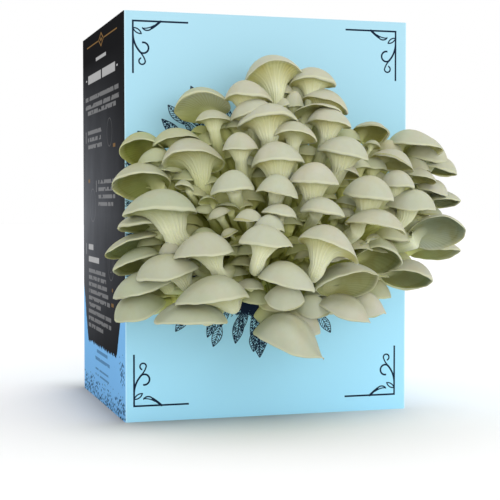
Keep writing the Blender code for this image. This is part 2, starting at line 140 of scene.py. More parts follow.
MUSHROOMS = (
    # Upper caps, from the topmost down
    Cap((-15.5, 184.0), (20.0, 191.5), 13.5, 10.5, -38, 34),
    Cap((11.0, 185.5), (38.5, 186.0), 9.5, 4.5, -25, 38),
    Cap((17.0, 176.5), (46.0, 170.5), 10.5, 5.0, -20, 42),
    Cap((13.5, 168.5), (43.0, 170.0), 7.0, 5.5, -40, 48),
    Cap((20.5, 164.0), (49.0, 162.0), 10.5, 3.0, -18, 54),
    Cap((-27.0, 176.0), (1.0, 175.5), 11.0, 4.0, -12, 42),
    Cap((-23.0, 165.0), (-1.0, 174.5), 6.5, 0.0, 0, 46),
    Cap((-19.0, 161.0), (15.5, 166.0), 10.5, 5.5, -24, 52),
    Cap((1.0, 155.5), (27.5, 154.5), 10.0, 5.0, -28, 60),
    Cap((-11.0, 139.5), (20.0, 142.0), 13.0, 3.0, -3, 64),
    Cap((29.0, 149.5), (59.0, 144.0), 10.0, 0.5, 0, 62),
    Cap((10.5, 130.5), (40.5, 129.5), 12.0, 1.0, 3, 72),
    Cap((33.5, 136.0), (54.0, 134.0), 7.0, 3.5, -30, 60),
    # Left side
    Cap((-55.5, 168.5), (-23.0, 172.0), 12.5, 10.0, -50, 30),
    Cap((-43.0, 164.0), (-22.5, 165.0), 6.5, 1.5, -25, 40),
    Cap((-28.0, 148.0), (-6.0, 148.5), 10.5, 1.0, -5, 56),
    Cap((-62.5, 140.5), (-26.0, 141.0), 15.0, 7.5, -42, 50),
    Cap((-66.5, 150.5), (-40.5, 154.5), 8.0, 3.0, -25, 36),
    Cap((-85.0, 148.5), (-60.0, 147.0), 10.5, 6.0, -56, 28),
    Cap((-89.5, 128.0), (-57.5, 130.5), 12.5, 7.0, -48, 42),
    Cap((-84.0, 112.5), (-41.5, 114.0), 13.5, 3.0, -14, 58),
    Cap((-86.0, 106.0), (-58.5, 107.5), 7.0, 2.0, -28, 48),
    Cap((-94.0, 91.0), (-61.0, 101.5), 7.5, 3.0, -34, 40),
    Cap((-88.5, 82.5), (-62.5, 90.5), 8.5, 2.5, -34, 47),
    Cap((-76.0, 78.0), (-42.0, 83.5), 10.5, -3.0, 25, 64),
    Cap((-89.5, 67.0), (-53.0, 77.5), 10.5, -1.5, 15, 52),
    Cap((-89.0, 55.5), (-60.0, 65.5), 10.0, -4.5, 40, 44),
    # Middle
    Cap((-34.5, 124.0), (-9.0, 127.0), 12.0, 1.0, -3, 66),
    Cap((-8.5, 125.5), (16.5, 121.5), 12.0, 1.0, 0, 72),
    Cap((-21.5, 109.5), (-4.5, 109.5), 7.0, -0.5, 3, 74),
    Cap((-5.0, 114.0), (16.0, 110.5), 6.5, 1.0, -5, 77),
    Cap((-17.5, 97.5), (13.5, 94.5), 10.5, -0.5, 5, 86),
    Cap((-55.5, 89.0), (-20.5, 92.0), 13.0, -0.5, 5, 74),
    Cap((-54.5, 63.5), (-12.0, 67.0), 13.5, -0.5, 28, 76),
    Cap((-66.0, 54.5), (-25.0, 53.5), 11.5, -1.5, 45, 64),
    Cap((-7.5, 78.0), (26.0, 69.5), 12.5, -1.5, 22, 84),
    # Right side
    Cap((49.0, 160.5), (72.5, 159.0), 7.5, 4.0, -52, 40),
    Cap((70.5, 152.5), (106.0, 150.0), 10.5, 2.5, -34, 38),
    Cap((59.5, 145.5), (87.5, 137.0), 9.8, 4.5, -35, 52),
    Cap((89.0, 141.5), (115.5, 136.0), 8.5, 1.0, -32, 33),
    Cap((65.5, 128.5), (87.5, 128.5), 9.5, 0.5, 5, 58),
    Cap((80.0, 135.0), (102.0, 131.5), 7.0, 2.0, -35, 45),
    Cap((88.0, 129.0), (109.0, 123.0), 7.5, 0.0, -28, 41),
    Cap((94.0, 119.0), (116.5, 120.5), 7.5, 2.0, -38, 40),
    Cap((44.0, 124.5), (75.0, 121.0), 12.0, -0.5, 5, 72),
    Cap((69.0, 118.0), (101.5, 115.5), 10.5, -1.5, 10, 60),
    Cap((18.0, 115.0), (45.0, 111.5), 9.0, 1.0, -3, 78),
    Cap((45.0, 107.5), (82.0, 101.5), 12.0, 2.5, -8, 78),
    Cap((16.5, 98.5), (53.0, 85.0), 14.5, 5.5, -15, 88),
    Cap((82.0, 99.0), (121.5, 103.0), 11.6, 10.0, -48, 54),
    Cap((82.0, 91.5), (117.0, 91.5), 8.0, 1.5, -34, 30),
    Cap((64.5, 77.0), (99.5, 73.5), 12.0, 5.0, -38, 54),
    Cap((27.5, 70.0), (66.0, 77.5), 13.0, 5.0, -38, 78),
    # Lowest caps, whose stems bend up to the window
    Cap((28.5, 64.0), (60.5, 50.5), 9.0, -3.5, 42, 70),
    Cap((42.0, 60.5), (70.5, 55.5), 10.5, -4.0, 45, 60),
    Cap((-3.5, 66.0), (21.0, 63.5), 9.0, -6.0, 42, 76),
    Cap((-10.0, 48.0), (32.5, 30.0), 15.5, -4.0, 52, 60),
)

SMALL_MUSHROOMS = (
    Cap((8.0, 172.5), (20.0, 173.0), 9.0, 1.0, 5, 40),
    Cap((-75.0, 140.5), (-54.0, 143.0), 8.0, 0.0, 5, 36),
    Cap((-54.5, 128.5), (-44.5, 126.5), 4.0, 2.0, -30, 54),
    Cap((-41.5, 119.0), (-29.5, 119.0), 4.5, 3.5, -40, 58),
    Cap((-36.5, 109.5), (-22.5, 115.0), 5.0, -0.5, 5, 64),
    Cap((-32.5, 116.0), (-17.5, 115.5), 4.0, 2.5, -25, 60),
    Cap((-64.0, 91.5), (-49.5, 92.5), 7.5, -0.5, 5, 60),
    Cap((-48.5, 87.0), (-39.5, 85.0), 4.0, 3.0, -30, 60),
    Cap((-10.5, 104.5), (8.5, 103.0), 9.0, 1.5, 0, 79),
    Cap((-29.0, 99.0), (-18.0, 104.0), 4.5, -0.5, 0, 68),
    Cap((28.5, 85.5), (47.0, 87.5), 6.5, -0.5, 0, 80),
    Cap((15.0, 60.0), (36.5, 57.5), 9.0, -5.0, 30, 64),
    Cap((3.0, 51.0), (29.5, 45.5), 12.0, -5.0, 45, 54),
    Cap((55.0, 152.0), (67.0, 150.5), 4.5, 2.5, -35, 46),
    Cap((57.0, 98.0), (66.5, 100.0), 3.0, 0.5, -30, 70),
    Cap((49.5, 84.5), (80.0, 86.0), 15.0, 9.0, -44, 60),
    Cap((79.0, 146.5), (108.5, 142.0), 13.5, 0.5, -12, 30),
    Cap((62.0, 99.0), (84.0, 97.5), 8.0, 0.5, -10, 52),
    Cap((78.0, 108.5), (99.0, 110.0), 7.0, 0.0, -10, 33),
    Cap((-21.0, 73.0), (-4.0, 71.5), 5.0, -0.5, 8, 68),
    Cap((-18.0, 66.0), (1.0, 63.5), 7.0, -1.5, 25, 58),
    Cap((-66.0, 137.0), (-48.0, 135.5), 6.5, 0.5, -10, 40),
    Cap((-57.0, 132.0), (-38.0, 131.0), 7.5, 0.5, -8, 42),
    Cap((-72.0, 103.0), (-52.0, 104.5), 6.5, 0.5, -8, 44),
    Cap((-76.0, 95.0), (-58.0, 97.0), 6.5, 0.5, -8, 42),
    Cap((-74.0, 72.0), (-55.0, 73.5), 6.5, -0.5, 5, 42),
    Cap((52.0, 76.0), (72.0, 76.5), 7.0, 0.5, -8, 48),
    Cap((88.0, 113.0), (106.0, 112.0), 6.5, 0.0, -12, 38),
    Cap((-2.0, 181.0), (14.0, 180.5), 6.0, 0.5, -10, 32),
    Cap((52.0, 139.5), (70.0, 138.5), 7.0, 0.5, -12, 46),
    Cap((-9.5, 57.0), (10.0, 54.0), 10.0, -6.0, 40, 52),
    Cap((-6.0, 62.0), (12.0, 61.0), 7.0, -3.0, 30, 60),
    # Deep between the large caps
    Cap((26.0, 139.0), (46.0, 138.0), 7.5, 0.5, -5, 38),
    Cap((33.0, 128.5), (54.0, 128.0), 7.5, 0.5, -5, 40),
    Cap((46.0, 133.0), (66.0, 132.0), 8.0, 0.5, -5, 34),
    Cap((50.0, 145.5), (70.0, 145.0), 7.5, 0.5, -5, 32),
    Cap((-45.0, 150.5), (-26.0, 151.5), 7.5, 0.5, -5, 34),
    Cap((-68.0, 131.0), (-49.0, 131.5), 8.0, 0.5, -5, 34),
    Cap((-39.0, 118.5), (-19.0, 119.0), 8.0, 0.5, -5, 44),
    Cap((-58.0, 99.0), (-37.0, 100.5), 8.5, 0.5, -5, 46),
    Cap((-52.0, 78.5), (-31.0, 79.5), 8.5, 0.5, -5, 46),
    Cap((-74.0, 66.5), (-53.0, 68.5), 8.5, 0.5, 0, 36),
    Cap((77.0, 139.5), (98.0, 137.5), 8.0, 0.5, -5, 34),
    Cap((84.0, 125.5), (104.0, 124.0), 8.0, 0.5, -5, 32),
    Cap((66.0, 97.0), (88.0, 96.0), 9.5, 0.5, -5, 46),
    Cap((56.0, 92.0), (78.0, 90.0), 9.0, 0.5, -5, 50),
    Cap((32.0, 64.0), (54.0, 62.0), 9.5, -2.0, 15, 50),
    Cap((50.0, 68.0), (74.0, 65.0), 9.5, -2.0, 10, 44),
    Cap((-14.0, 174.0), (6.0, 173.0), 8.0, 0.5, -5, 34),
    Cap((8.0, 178.5), (26.0, 178.0), 8.0, 0.5, -5, 32),
    Cap((74.5, 102.0), (94.5, 102.5), 8.5, 0.5, -5, 42),
    Cap((65.5, 84.0), (86.0, 85.5), 9.0, 0.5, -5, 38),
)


@dataclass(frozen=True)
class BentStem:
    """A stem that leaves its cap in its own direction, and turns to the base only further on.

    beside, behind: where it leaves the cap, as shares of the half width and of the depth.
    radius: its neck's radius as a share of the cap's width.
    towards: its first direction, and straight: the millimetres before it turns.
    """

    beside: float
    behind: float
    radius: float
    towards: Triple
    straight: float


BENT_STEMS = {
    17: BentStem(0.34, 0.0, 0.125, (0.15, 0.05, -1.0), 14),
    21: BentStem(0.36, 0.0, 0.165, (0.30, 0.0, -1.0), 14),
    25: BentStem(0.66, 0.0, 0.110, (0.55, 0.3, -1.0), 5),
    32: BentStem(-0.10, 0.0, 0.150, (-0.35, 0.1, -1.0), 12),
    33: BentStem(0.36, 0.0, 0.130, (0.42, 0.1, -1.0), 10),
    34: BentStem(0.56, 0.0, 0.112, (0.75, 0.9, -0.6), 3),
    49: BentStem(-0.34, 0.0, 0.140, (-0.25, 0.1, -1.0), 14),
}


class Wire:
    """A value in a shader: a node's output, with Python's operators for its Math nodes."""

    def __init__(self, bench: "Bench", socket: bpy.types.NodeSocket) -> None:
        """Wraps an output socket of a bench's node tree."""
        self.bench = bench
        self.socket = socket

    def math(self, operation: str, *others: "Wire | float") -> "Wire":
        """A Math node on this value and others."""
        return self.bench.node("ShaderNodeMath", {"operation": operation}, dict(enumerate((self, *others))))

    def __add__(self, other: "Wire | float") -> "Wire":
        """The sum."""
        return self.math("ADD", other)

    def __sub__(self, other: "Wire | float") -> "Wire":
        """The difference."""
        return self.math("SUBTRACT", other)

    def __mul__(self, other: "Wire | float") -> "Wire":
        """The product."""
        return self.math("MULTIPLY", other)

    def __truediv__(self, other: "Wire | float") -> "Wire":
        """The quotient."""
        return self.math("DIVIDE", other)

    def __rsub__(self, other: float) -> "Wire":
        """A number less this value."""
        return self.bench.node("ShaderNodeMath", {"operation": "SUBTRACT"}, {0: other, 1: self})

    def __neg__(self) -> "Wire":
        """The value with its sign turned."""
        return self.math("MULTIPLY", -1.0)

    __radd__ = __add__
    __rmul__ = __mul__

    def least(self, other: "Wire | float") -> "Wire":
        """The smaller of two values."""
        return self.math("MINIMUM", other)

    def most(self, other: "Wire | float") -> "Wire":
        """The larger of two values."""
        return self.math("MAXIMUM", other)

    def size(self) -> "Wire":
        """The value without its sign."""
        return self.math("ABSOLUTE")

    def sine(self) -> "Wire":
        """The sine of an angle in radians."""
        return self.math("SINE")

    def rest(self) -> "Wire":
        """What is left over a whole number."""
        return self.math("FRACT")

    def over(self, edge: "Wire | float", blur: float) -> "Wire":
        """0 below an edge, 1 above it, and a ramp as wide as blur between."""
        ramp = (self - edge) / blur + 0.5
        return ramp.math("MAXIMUM", 0.0).math("MINIMUM", 1.0)

    def under(self, edge: "Wire | float", blur: float) -> "Wire":
        """1 below an edge and 0 above it."""
        return 1.0 - self.over(edge, blur)


class Bench:
    """One material on the workbench: its node tree, and the methods that add nodes to it."""

    def __init__(self, name: str) -> None:
        """Starts a material with a Principled shader.

        Args:
            name: The material's name.
        """
        self.material = bpy.data.materials.new(name)
        self.material.use_nodes = True
        self.tree = self.material.node_tree
        self.shader = self.tree.nodes["Principled BSDF"]

    def node(
        self,
        kind: str,
        settings: dict[str, object] | None = None,
        inputs: dict[int | str, object] | None = None,
        output: int | str = 0,
    ) -> Wire:
        """Adds a node of any kind.

        Args:
            kind: The node's type.
            settings: Its properties, set first.
            inputs: Values or wires for its sockets, by number or name.
            output: The output that is wanted.

        Returns:
            That output as a wire.
        """
        made = self.tree.nodes.new(kind)
        for name, value in (settings or {}).items():
            setattr(made, name, value)
        for place, value in (inputs or {}).items():
            if isinstance(value, Wire):
                self.tree.links.new(value.socket, made.inputs[place])
            else:
                made.inputs[place].default_value = value
        return Wire(self, made.outputs[output])

    def blend(self, share: Wire | float, first: object, second: object) -> Wire:
        """Mixes two colours: first where share is 0, second where it is 1."""
        inputs = {0: share, 6: self._paint(first), 7: self._paint(second)}
        return self.node("ShaderNodeMix", {"data_type": "RGBA"}, inputs, 2)

    def _paint(self, colour: object) -> object:
        """A colour as a socket takes it, with its alpha."""
        return colour if isinstance(colour, Wire) else (*colour, 1.0)

    def tint(self, colour: Wire, share: Wire | float, by: object) -> Wire:
        """Multiplies a colour by another, as far as share says."""
        inputs = {0: share, 6: colour, 7: self._paint(by)}
        return self.node("ShaderNodeMix", {"data_type": "RGBA", "blend_type": "MULTIPLY"}, inputs, 2)

    def attribute(self, name: str, output: str = "Fac") -> Wire:
        """An attribute of the mesh."""
        return self.node("ShaderNodeAttribute", {"attribute_name": name}, output=output)

    def place(self) -> Wire:
        """Object coordinates, in metres."""
        return self.node("ShaderNodeTexCoord", output="Object")

    def axes(self, vector: Wire, scale: float = 1.0) -> tuple[Wire, Wire, Wire]:
        """A vector's three parts, each multiplied by a number."""
        parts = [self.node("ShaderNodeSeparateXYZ", inputs={0: vector}, output=axis) for axis in range(3)]
        return tuple(part * scale if scale != 1.0 else part for part in parts)

    def noise(self, vector: Wire, scale: float, detail: float = 3.0, roughness: float = 0.55) -> Wire:
        """Smooth noise from 0 to 1 around 0.5."""
        inputs = {"Vector": vector, "Scale": scale, "Detail": detail, "Roughness": roughness}
        return self.node("ShaderNodeTexNoise", inputs=inputs)

    def stretched(self, vector: Wire, factors: Triple) -> Wire:
        """A vector scaled along each axis."""
        return self.node("ShaderNodeVectorMath", {"operation": "MULTIPLY"}, {0: vector, 1: factors})

    def bump(self, height: Wire, strength: float, distance: float) -> None:
        """Sends a height to the shader's normal.

        Args:
            height: The height, from 0 to 1 or so.
            strength: How much of it shows.
            distance: The height of 1, in metres.
        """
        inputs = {"Height": height, "Strength": strength, "Distance": distance}
        bumped = self.node("ShaderNodeBump", inputs=inputs)
        self.tree.links.new(bumped.socket, self.shader.inputs["Normal"])

    def dress(self, **values: object) -> None:
        """Sets the Principled shader's sockets.

        Args:
            values: Numbers, colours or wires, by socket name with _ for a space.
        """
        for name, value in values.items():
            socket = self.shader.inputs[name.replace("_", " ")]
            if isinstance(value, Wire):
                self.tree.links.new(value.socket, socket)
            elif isinstance(value, tuple) and len(value) == 3 and len(socket.default_value) == 4:
                socket.default_value = (*value, 1.0)
            else:
                socket.default_value = value


class Panel(Enum):
    """The carton's six faces."""

    FRONT = "front"
    BACK = "back"
    LEFT = "left"
    RIGHT = "right"
    TOP = "top"
    BOTTOM = "bottom"


def united(masks: Iterable[Wire]) -> Wire:
    """The largest of several masks at each point."""
    return reduce(Wire.most, masks)


def circle_through(first: Point, second: Point, third: Point) -> tuple[Point, float]:
    """The circle through three points.

    Args:
        first, second, third: Points that aren't in one line.

    Returns:
        The circle's centre and radius.
    """
    (ax, ay), (bx, by), (cx, cy) = first, second, third
    double = 2 * (ax * (by - cy) + bx * (cy - ay) + cx * (ay - by))
    a2, b2, c2 = ax * ax + ay * ay, bx * bx + by * by, cx * cx + cy * cy
    x = (a2 * (by - cy) + b2 * (cy - ay) + c2 * (ay - by)) / double
    y = (a2 * (cx - bx) + b2 * (ax - cx) + c2 * (bx - ax)) / double
    return (x, y), math.hypot(ax - x, ay - y)


@dataclass
class PrintPlate:
    """A flat drawing on two axes in millimetres, whose shapes are masks from 0 to 1."""

    across: Wire
    upward: Wire
    blur: float = 0.14

    def bar(self, left: float, right: float, low: float, high: float) -> Wire:
        """A filled rectangle.

        Args:
            left, right, low, high: Its four sides.

        Returns:
            Its mask.
        """
        sides = (self.across - (left + right) / 2).size().under((right - left) / 2, self.blur)
        ends = (self.upward - (low + high) / 2).size().under((high - low) / 2, self.blur)
        return sides * ends

    def bars(self, sides: Iterable[Bar]) -> Wire:
        """Several filled rectangles."""
        return united(self.bar(*four) for four in sides)

    def far(self, centre: Point) -> Wire:
        """The distance from a point."""
        x, y = self.across - centre[0], self.upward - centre[1]
        return (x * x + y * y).math("SQRT")

    def arc(self, first: Point, middle: Point, last: Point, width: float) -> Wire:
        """A thin arc of up to a quarter turn or so.

        Args:
            first, middle, last: Three points on it.
            width: The line's width.

        Returns:
            Its mask.
        """
        centre, radius = circle_through(first, middle, last)
        line = (self.far(centre) - radius).size().under(width / 2, self.blur)
        corners = (first, middle, last)
        left, right = min(x for x, _ in corners), max(x for x, _ in corners)
        low, high = min(y for _, y in corners), max(y for _, y in corners)
        room = width / 2
        return line * self.bar(left - room, right + room, low - room, high + room)

    def hoop(self, centre: Point, radius: float, width: float) -> Wire:
        """A thin whole circle."""
        return (self.far(centre) - radius).size().under(width / 2, self.blur)


# The left side's lines of print: left and right end, middle height, and half of the thickness
FOOT_LINES = ((48, 84, 29.3, 1.0), (40, 91, 24.6, 1.0), (43, 88, 18.3, 0.6), (43, 88, 14.8, 0.6))
BODY_LINES = (
    (11, 121, 184.0, 1.3),
    (11, 122, 179.0, 1.3),
    (19, 113, 175.2, 1.3),
    (19, 67, 163.0, 1.2),
    (19, 65, 158.6, 1.2),
    (20, 68, 154.2, 1.2),
    (56, 112, 132.0, 1.1),
    (56, 108, 127.6, 1.1),
    (56, 110, 123.2, 1.1),
    (56, 104, 118.8, 1.1),
    (20, 78, 77.2, 1.2),
    (20, 80, 73.0, 1.2),
    (20, 83, 68.8, 1.2),
    (20, 87, 64.5, 1.2),
    (20, 92, 60.2, 1.2),
    (20, 62, 56.0, 1.2),
    (19, 98, 51.8, 1.2),
    (19, 96, 47.4, 1.2),
    (19, 70, 43.0, 1.2),
)

# Its bars: left, right, low and high side
HEADING_BARS = (
    (21, 66, 193.2, 198.4),
    (70, 111, 193.2, 198.4),
    (49, 83, 205.0, 207.0),
    (13, 17, 195.3, 196.3),
    (115, 119, 195.3, 196.3),
    (20, 37, 90.3, 93.7),
    (20, 57, 82.7, 86.1),
)
MARK_BARS = ((11.4, 12.6, 157.0, 164.0), (10.8, 12.0, 87.0, 94.0), (48.0, 49.2, 126.0, 133.0))
RULE_BARS = ((17, 57, 215.8, 216.5), (77, 117, 215.8, 216.5))
TICK_BARS = ((97, 104, 60.0, 62.0), (99, 102, 68.5, 70.5), (104, 111, 151.0, 153.0), (20, 26, 132.0, 134.0))

# Its faint rings: centre, radius and line width
SKETCH_HOOPS = (
    ((96.0, 84.0), 9.0, 0.5),
    ((96.0, 84.0), 4.5, 0.4),
    ((36.0, 118.0), 10.0, 0.5),
    ((93.0, 160.0), 8.0, 0.5),
)


@dataclass(frozen=True)
class WreathLeaf:
    """One ring of the printed wreath's leaves: how many, where they start, and their size.

    Start and length are shares of the wreath's radius, half_width is in millimetres, and dark is
    how much of the leaf is inked.
    """

    count: int
    start: float
    length: float
    shift: float
    half_width: float
    dark: float


@dataclass(frozen=True)
class CartonFinish:
    """The carton's printed board. Sizes are in millimetres.

    bracket_inset, bracket_arm, bracket_line: where a corner's right angle lies, and its size.
    bracket_shift, bracket_rise: how far the four corners sit to the right, and the lower two up.
    wreath_...: the leaves' wreath behind the cluster.
    """

    sky_top: Triple = (0.355, 0.585, 0.690)
    # Lower blue: the print's deeper tone, together with painted light that lifts the shade below the cluster
    sky_low_painted_light: Triple = (0.360, 0.710, 0.905)
    side_blue: Triple = (0.200, 0.462, 0.790)
    black: Triple = (0.012, 0.012, 0.013)
    # Painted sheen: the grey that stands in for a soft reflection on the black sheet
    painted_sheen_grey: Triple = (0.150, 0.158, 0.175)
    navy: Triple = (0.010, 0.018, 0.038)
    gold: Triple = (0.300, 0.170, 0.060)
    chalk: Triple = (0.520, 0.520, 0.520)
    # Painted highlight along the front's upright edges
    painted_edge_highlight: Triple = (0.750, 0.930, 1.000)
    raw_board: Triple = (0.330, 0.290, 0.240)
    board_fibre: Triple = (0.420, 0.380, 0.320)
    side_blur: float = 0.35
    bracket_inset: float = 5.4
    bracket_arm: float = 30.7
    bracket_shift: float = 1.0
    bracket_rise: float = 3.3
    bracket_line: float = 1.0
    stroke_weight: float = 1.3
    wreath_half_width: float = 76.0
    wreath_half_height: float = 66.0
    wreath_middle: float = 112.0
    wreath_line: float = 0.22
    wreath_leaves: tuple[WreathLeaf, ...] = (
        WreathLeaf(7, 0.66, 0.54, 0.25, 5.5, 0.52),
        WreathLeaf(31, 0.82, 0.27, 0.1, 3.0, 0.5),
        WreathLeaf(37, 0.74, 0.24, 0.6, 2.6, 0.46),
        WreathLeaf(23, 0.95, 0.20, 0.4, 2.4, 0.44),
    )

    def make(self) -> bpy.types.Material:
        """Builds the material.

        Returns:
            The finish of the whole carton, outside and inside.
        """
        bench = Bench("printed_carton_board")
        place = bench.place()
        x, y, z = bench.axes(place, 1 / MM)
        near = self.nearness(x, y, z)
        sides = (Panel.FRONT, Panel.BACK, Panel.LEFT, Panel.RIGHT)
        front, back, left, right = (self.panel(near, side) for side in sides)

        # Towards the bottom the blue grows lighter and deeper. This is partly the print's own shift and
        # partly painted light that offsets the shade the cluster casts on the lower front. Every face but the
        # left takes this gradient.
        fade = (z / (CARTON_HEIGHT / MM)).most(0.0).least(1.0)
        paper = bench.blend(fade, self.sky_low_painted_light, self.sky_top)
        brackets = self.corner_brackets(x, z, CARTON_WIDTH / MM)
        paper = bench.blend(brackets * front.most(back), paper, self.navy)
        side_brackets = self.corner_brackets(y, z, CARTON_DEPTH / MM)
        paper = bench.blend(side_brackets * right, paper, self.navy)
        paper = bench.blend(self.leaf_wreath(bench, x, z, place) * front, paper, self.navy)
        paper = bench.blend(left, paper, self.left_panel(bench, y, z, place))

        # Painted highlight: a thin lighter line down both upright edges of the front
        painted_edge_highlight = near[Panel.LEFT].least(near[Panel.RIGHT]).under(0.7, 0.8) * front
        paper = bench.blend(painted_edge_highlight * 0.35, paper, self.painted_edge_highlight)
        inside = reduce(Wire.least, near.values()).over(0.55, 0.1)
        fibres = bench.noise(bench.stretched(place, (900, 900, 260)), 1.0, 4.0)
        board = bench.blend(fibres, self.raw_board, self.board_fibre)
        paper = bench.blend(inside, paper, board)

        sheen = bench.noise(place, 22.0, 2.0)
        grain = bench.noise(place, 2600.0, 2.0)
        bench.dress(
            Base_Color=paper,
            Roughness=(sheen - 0.5) * 0.10 + 0.5 + inside * 0.3,
            Specular_IOR_Level=0.0,
        )
        warp = bench.noise(bench.stretched(place, (9, 9, 6)), 1.0, 1.0)
        bench.bump(grain * 0.02 + warp * 0.6, 0.25, 0.4 * MM)
        return bench.material

    def nearness(self, x: Wire, y: Wire, z: Wire) -> dict[Panel, Wire]:
        """How far a point is inside each outer face.

        Args:
            x, y, z: The point, in millimetres.

        Returns:
            The distances in millimetres, by face.
        """
        half_width = CARTON_WIDTH / MM / 2
        half_depth = CARTON_DEPTH / MM / 2
        return {
            Panel.FRONT: y + half_depth,
            Panel.BACK: half_depth - y,
            Panel.LEFT: x + half_width,
            Panel.RIGHT: half_width - x,
            Panel.TOP: CARTON_HEIGHT / MM - z,
            Panel.BOTTOM: z,
        }

    def panel(self, near: dict[Panel, Wire], wanted: Panel) -> Wire:
        """A mask of the surface that belongs to one face rather than to any other."""
        others = reduce(Wire.least, (near[panel] for panel in Panel if panel is not wanted))
        return (others - near[wanted]).over(0.0, 0.02)

    def corner_brackets(self, across: Wire, z: Wire, width: float) -> Wire:
        """Four mirrored corner flourishes: a right angle, two leaves and a scroll.

        Args:
            across, z: The point's place on the face, in millimetres.
            width: The face's width.

        Returns:
            Their mask.
        """
        side = width / 2 - 0.5 - (across + self.bracket_shift).size()
        end = (z - self.bracket_rise).least(CARTON_HEIGHT / MM - z)
        plate = PrintPlate(side, end)
        inset, arm, line = self.bracket_inset, self.bracket_arm, self.bracket_line
        near, far = inset - line / 2, inset + line / 2
        angle = plate.bars(((near, inset + arm, near, far), (near, far, near, inset + arm - 2.5)))
        strokes = (
            # Small leaf at the corner
            ((5.5, 9.2), (8.5, 10.0), (10.0, 12.2), 0.55),
            ((5.5, 9.2), (7.1, 11.4), (10.0, 12.2), 0.55),
            # Leaf that hangs from the level arm
            ((10.8, 9.3), (13.3, 10.4), (15.8, 9.1), 0.6),
            ((10.8, 9.3), (14.2, 8.9), (17.0, 7.6), 0.5),
            ((15.8, 9.1), (18.4, 7.2), (20.5, 5.4), 1.0),
            # Scroll along the upright arm
            ((5.4, 12.0), (6.4, 17.4), (9.8, 22.5), 0.8),
            ((9.3, 22.2), (11.2, 24.6), (12.2, 27.0), 0.6),
        )
        drawn = [plate.arc(*points, thick * self.stroke_weight) for *points, thick in strokes]
        hook = plate.hoop((11.1, 19.8), 2.9, 1.0) * side.over(10.4, 0.2).most(end.over(21.9, 0.2))
        curl = plate.hoop((10.45, 27.0), 1.75, 0.85) * side.under(10.0, 0.2).most(end.over(27.0, 0.2))
        return united((angle, *drawn, hook, curl))

    def leaf_wreath(self, bench: Bench, x: Wire, z: Wire, place: Wire) -> Wire:
        """A wreath of plain pointed leaves behind the cluster, and a solid band around the window.

        Args:
            bench: The material.
            x, z: The point's place on the front, in millimetres.
            place: Object coordinates.

        Returns:
            Their mask.
        """
        window_x = x / (WINDOW_HALF_WIDTH / MM)
        window_z = (z - WINDOW_CENTRE_Z / MM) / (WINDOW_HALF_HEIGHT / MM)
        from_window = (window_x * window_x + window_z * window_z).math("SQRT")
        rough = bench.noise(place, 700.0, 4.0, 0.7)
        drawn = (from_window - (rough - 0.5) * 0.6).under(1.4, 0.05)
        across = (x + 6.0) / self.wreath_half_width
        upward = (z - self.wreath_middle) / self.wreath_half_height
        reach = (across * across + upward * upward).math("SQRT")
        turn = upward.math("ARCTAN2", across) / math.tau
        around = math.tau * (self.wreath_half_width + self.wreath_half_height) / 2
        for leaf in self.wreath_leaves:
            unit = around / leaf.count
            along = (reach - leaf.start) / leaf.length
            inside = along.over(0.0, 0.02) * along.under(1.0, 0.02)
            beside = ((turn * leaf.count + leaf.shift).rest() - 0.5).size() * unit
            belly = (along.most(0.0).least(1.0) * math.pi).sine() * leaf.half_width
            edge = (beside - belly).size().under(self.wreath_line, 0.2)
            vein = beside.under(self.wreath_line, 0.2)
            ribs = ((along * (leaf.length * 42.0) - beside * 0.7).rest() - 0.5).size().under(0.16, 0.12)
            fill = beside.under(belly, 0.2) * ribs.most(rough.under(leaf.dark, 0.08))
            drawn = drawn.most(edge.most(vein).most(fill) * inside)
        return drawn * (1.0 - x.over(40.0, 0.2) * z.over(150.0, 0.2))

    def left_panel(self, bench: Bench, y: Wire, z: Wire, place: Wire) -> Wire:
        """The left side: a black sheet with a torn lower end over blue.

        Args:
            bench: The material.
            y, z: The point's place on the side, in millimetres.
            place: Object coordinates.

        Returns:
            The side's colour.
        """
        along = CARTON_DEPTH / MM / 2 - y
        plate = PrintPlate(along, z, self.side_blur)
        tear = bench.noise(place, 330.0, 4.0, 0.65)
        teeth = ((along / 9.0 + tear * 2.6).rest() - 0.5).size() * 3.6
        low = z.over(31.8 + teeth + (tear - 0.5) * 5.0, 0.4)
        ragged = (tear - 0.5) * 4.0
        left_edge = along.over((75.0 - z).most(0.0) * 0.45 + ragged - 2.0, 0.5)
        right_edge = along.under(139.0 - (81.0 - z).most(0.0) * 0.55 + ragged * 0.5, 0.5)
        ground = self.blue_ground(bench, plate, place)
        return bench.blend(low * left_edge * right_edge, ground, self.black_sheet(bench, plate, place))

    def blue_ground(self, bench: Bench, plate: PrintPlate, place: Wire) -> Wire:
        """The blue of the left side, with dots at its foot and in one corner, and four thin bars.

        Args:
            bench: The material.
            plate: The drawing's axes.
            place: Object coordinates.

        Returns:
            Its colour.
        """
        along, z = plate.across, plate.upward
        specks, sparse = (
            bench.node("ShaderNodeTexVoronoi", {"feature": "F1"}, {"Vector": place, "Scale": 480.0}, output)
            for output in ("Distance", "Color")
        )
        chance = bench.node("ShaderNodeSeparateColor", inputs={0: sparse})
        foot = (1.0 - z / 15.0).most(0.0)
        beside = (1.0 - (along - 128.0).size() / 11.0).most(0.0)
        corner = beside * (1.0 - (z - 26.0).size() / 12.0).most(0.0)
        dots = chance.under(foot.most(corner * 0.8), 0.02) * specks.under(0.42, 0.1)
        ground = bench.blend(dots, self.side_blue, self.navy)
        lines = self.word_bars(bench, plate, place, FOOT_LINES)
        return bench.blend(lines * 0.5, ground, self.navy)

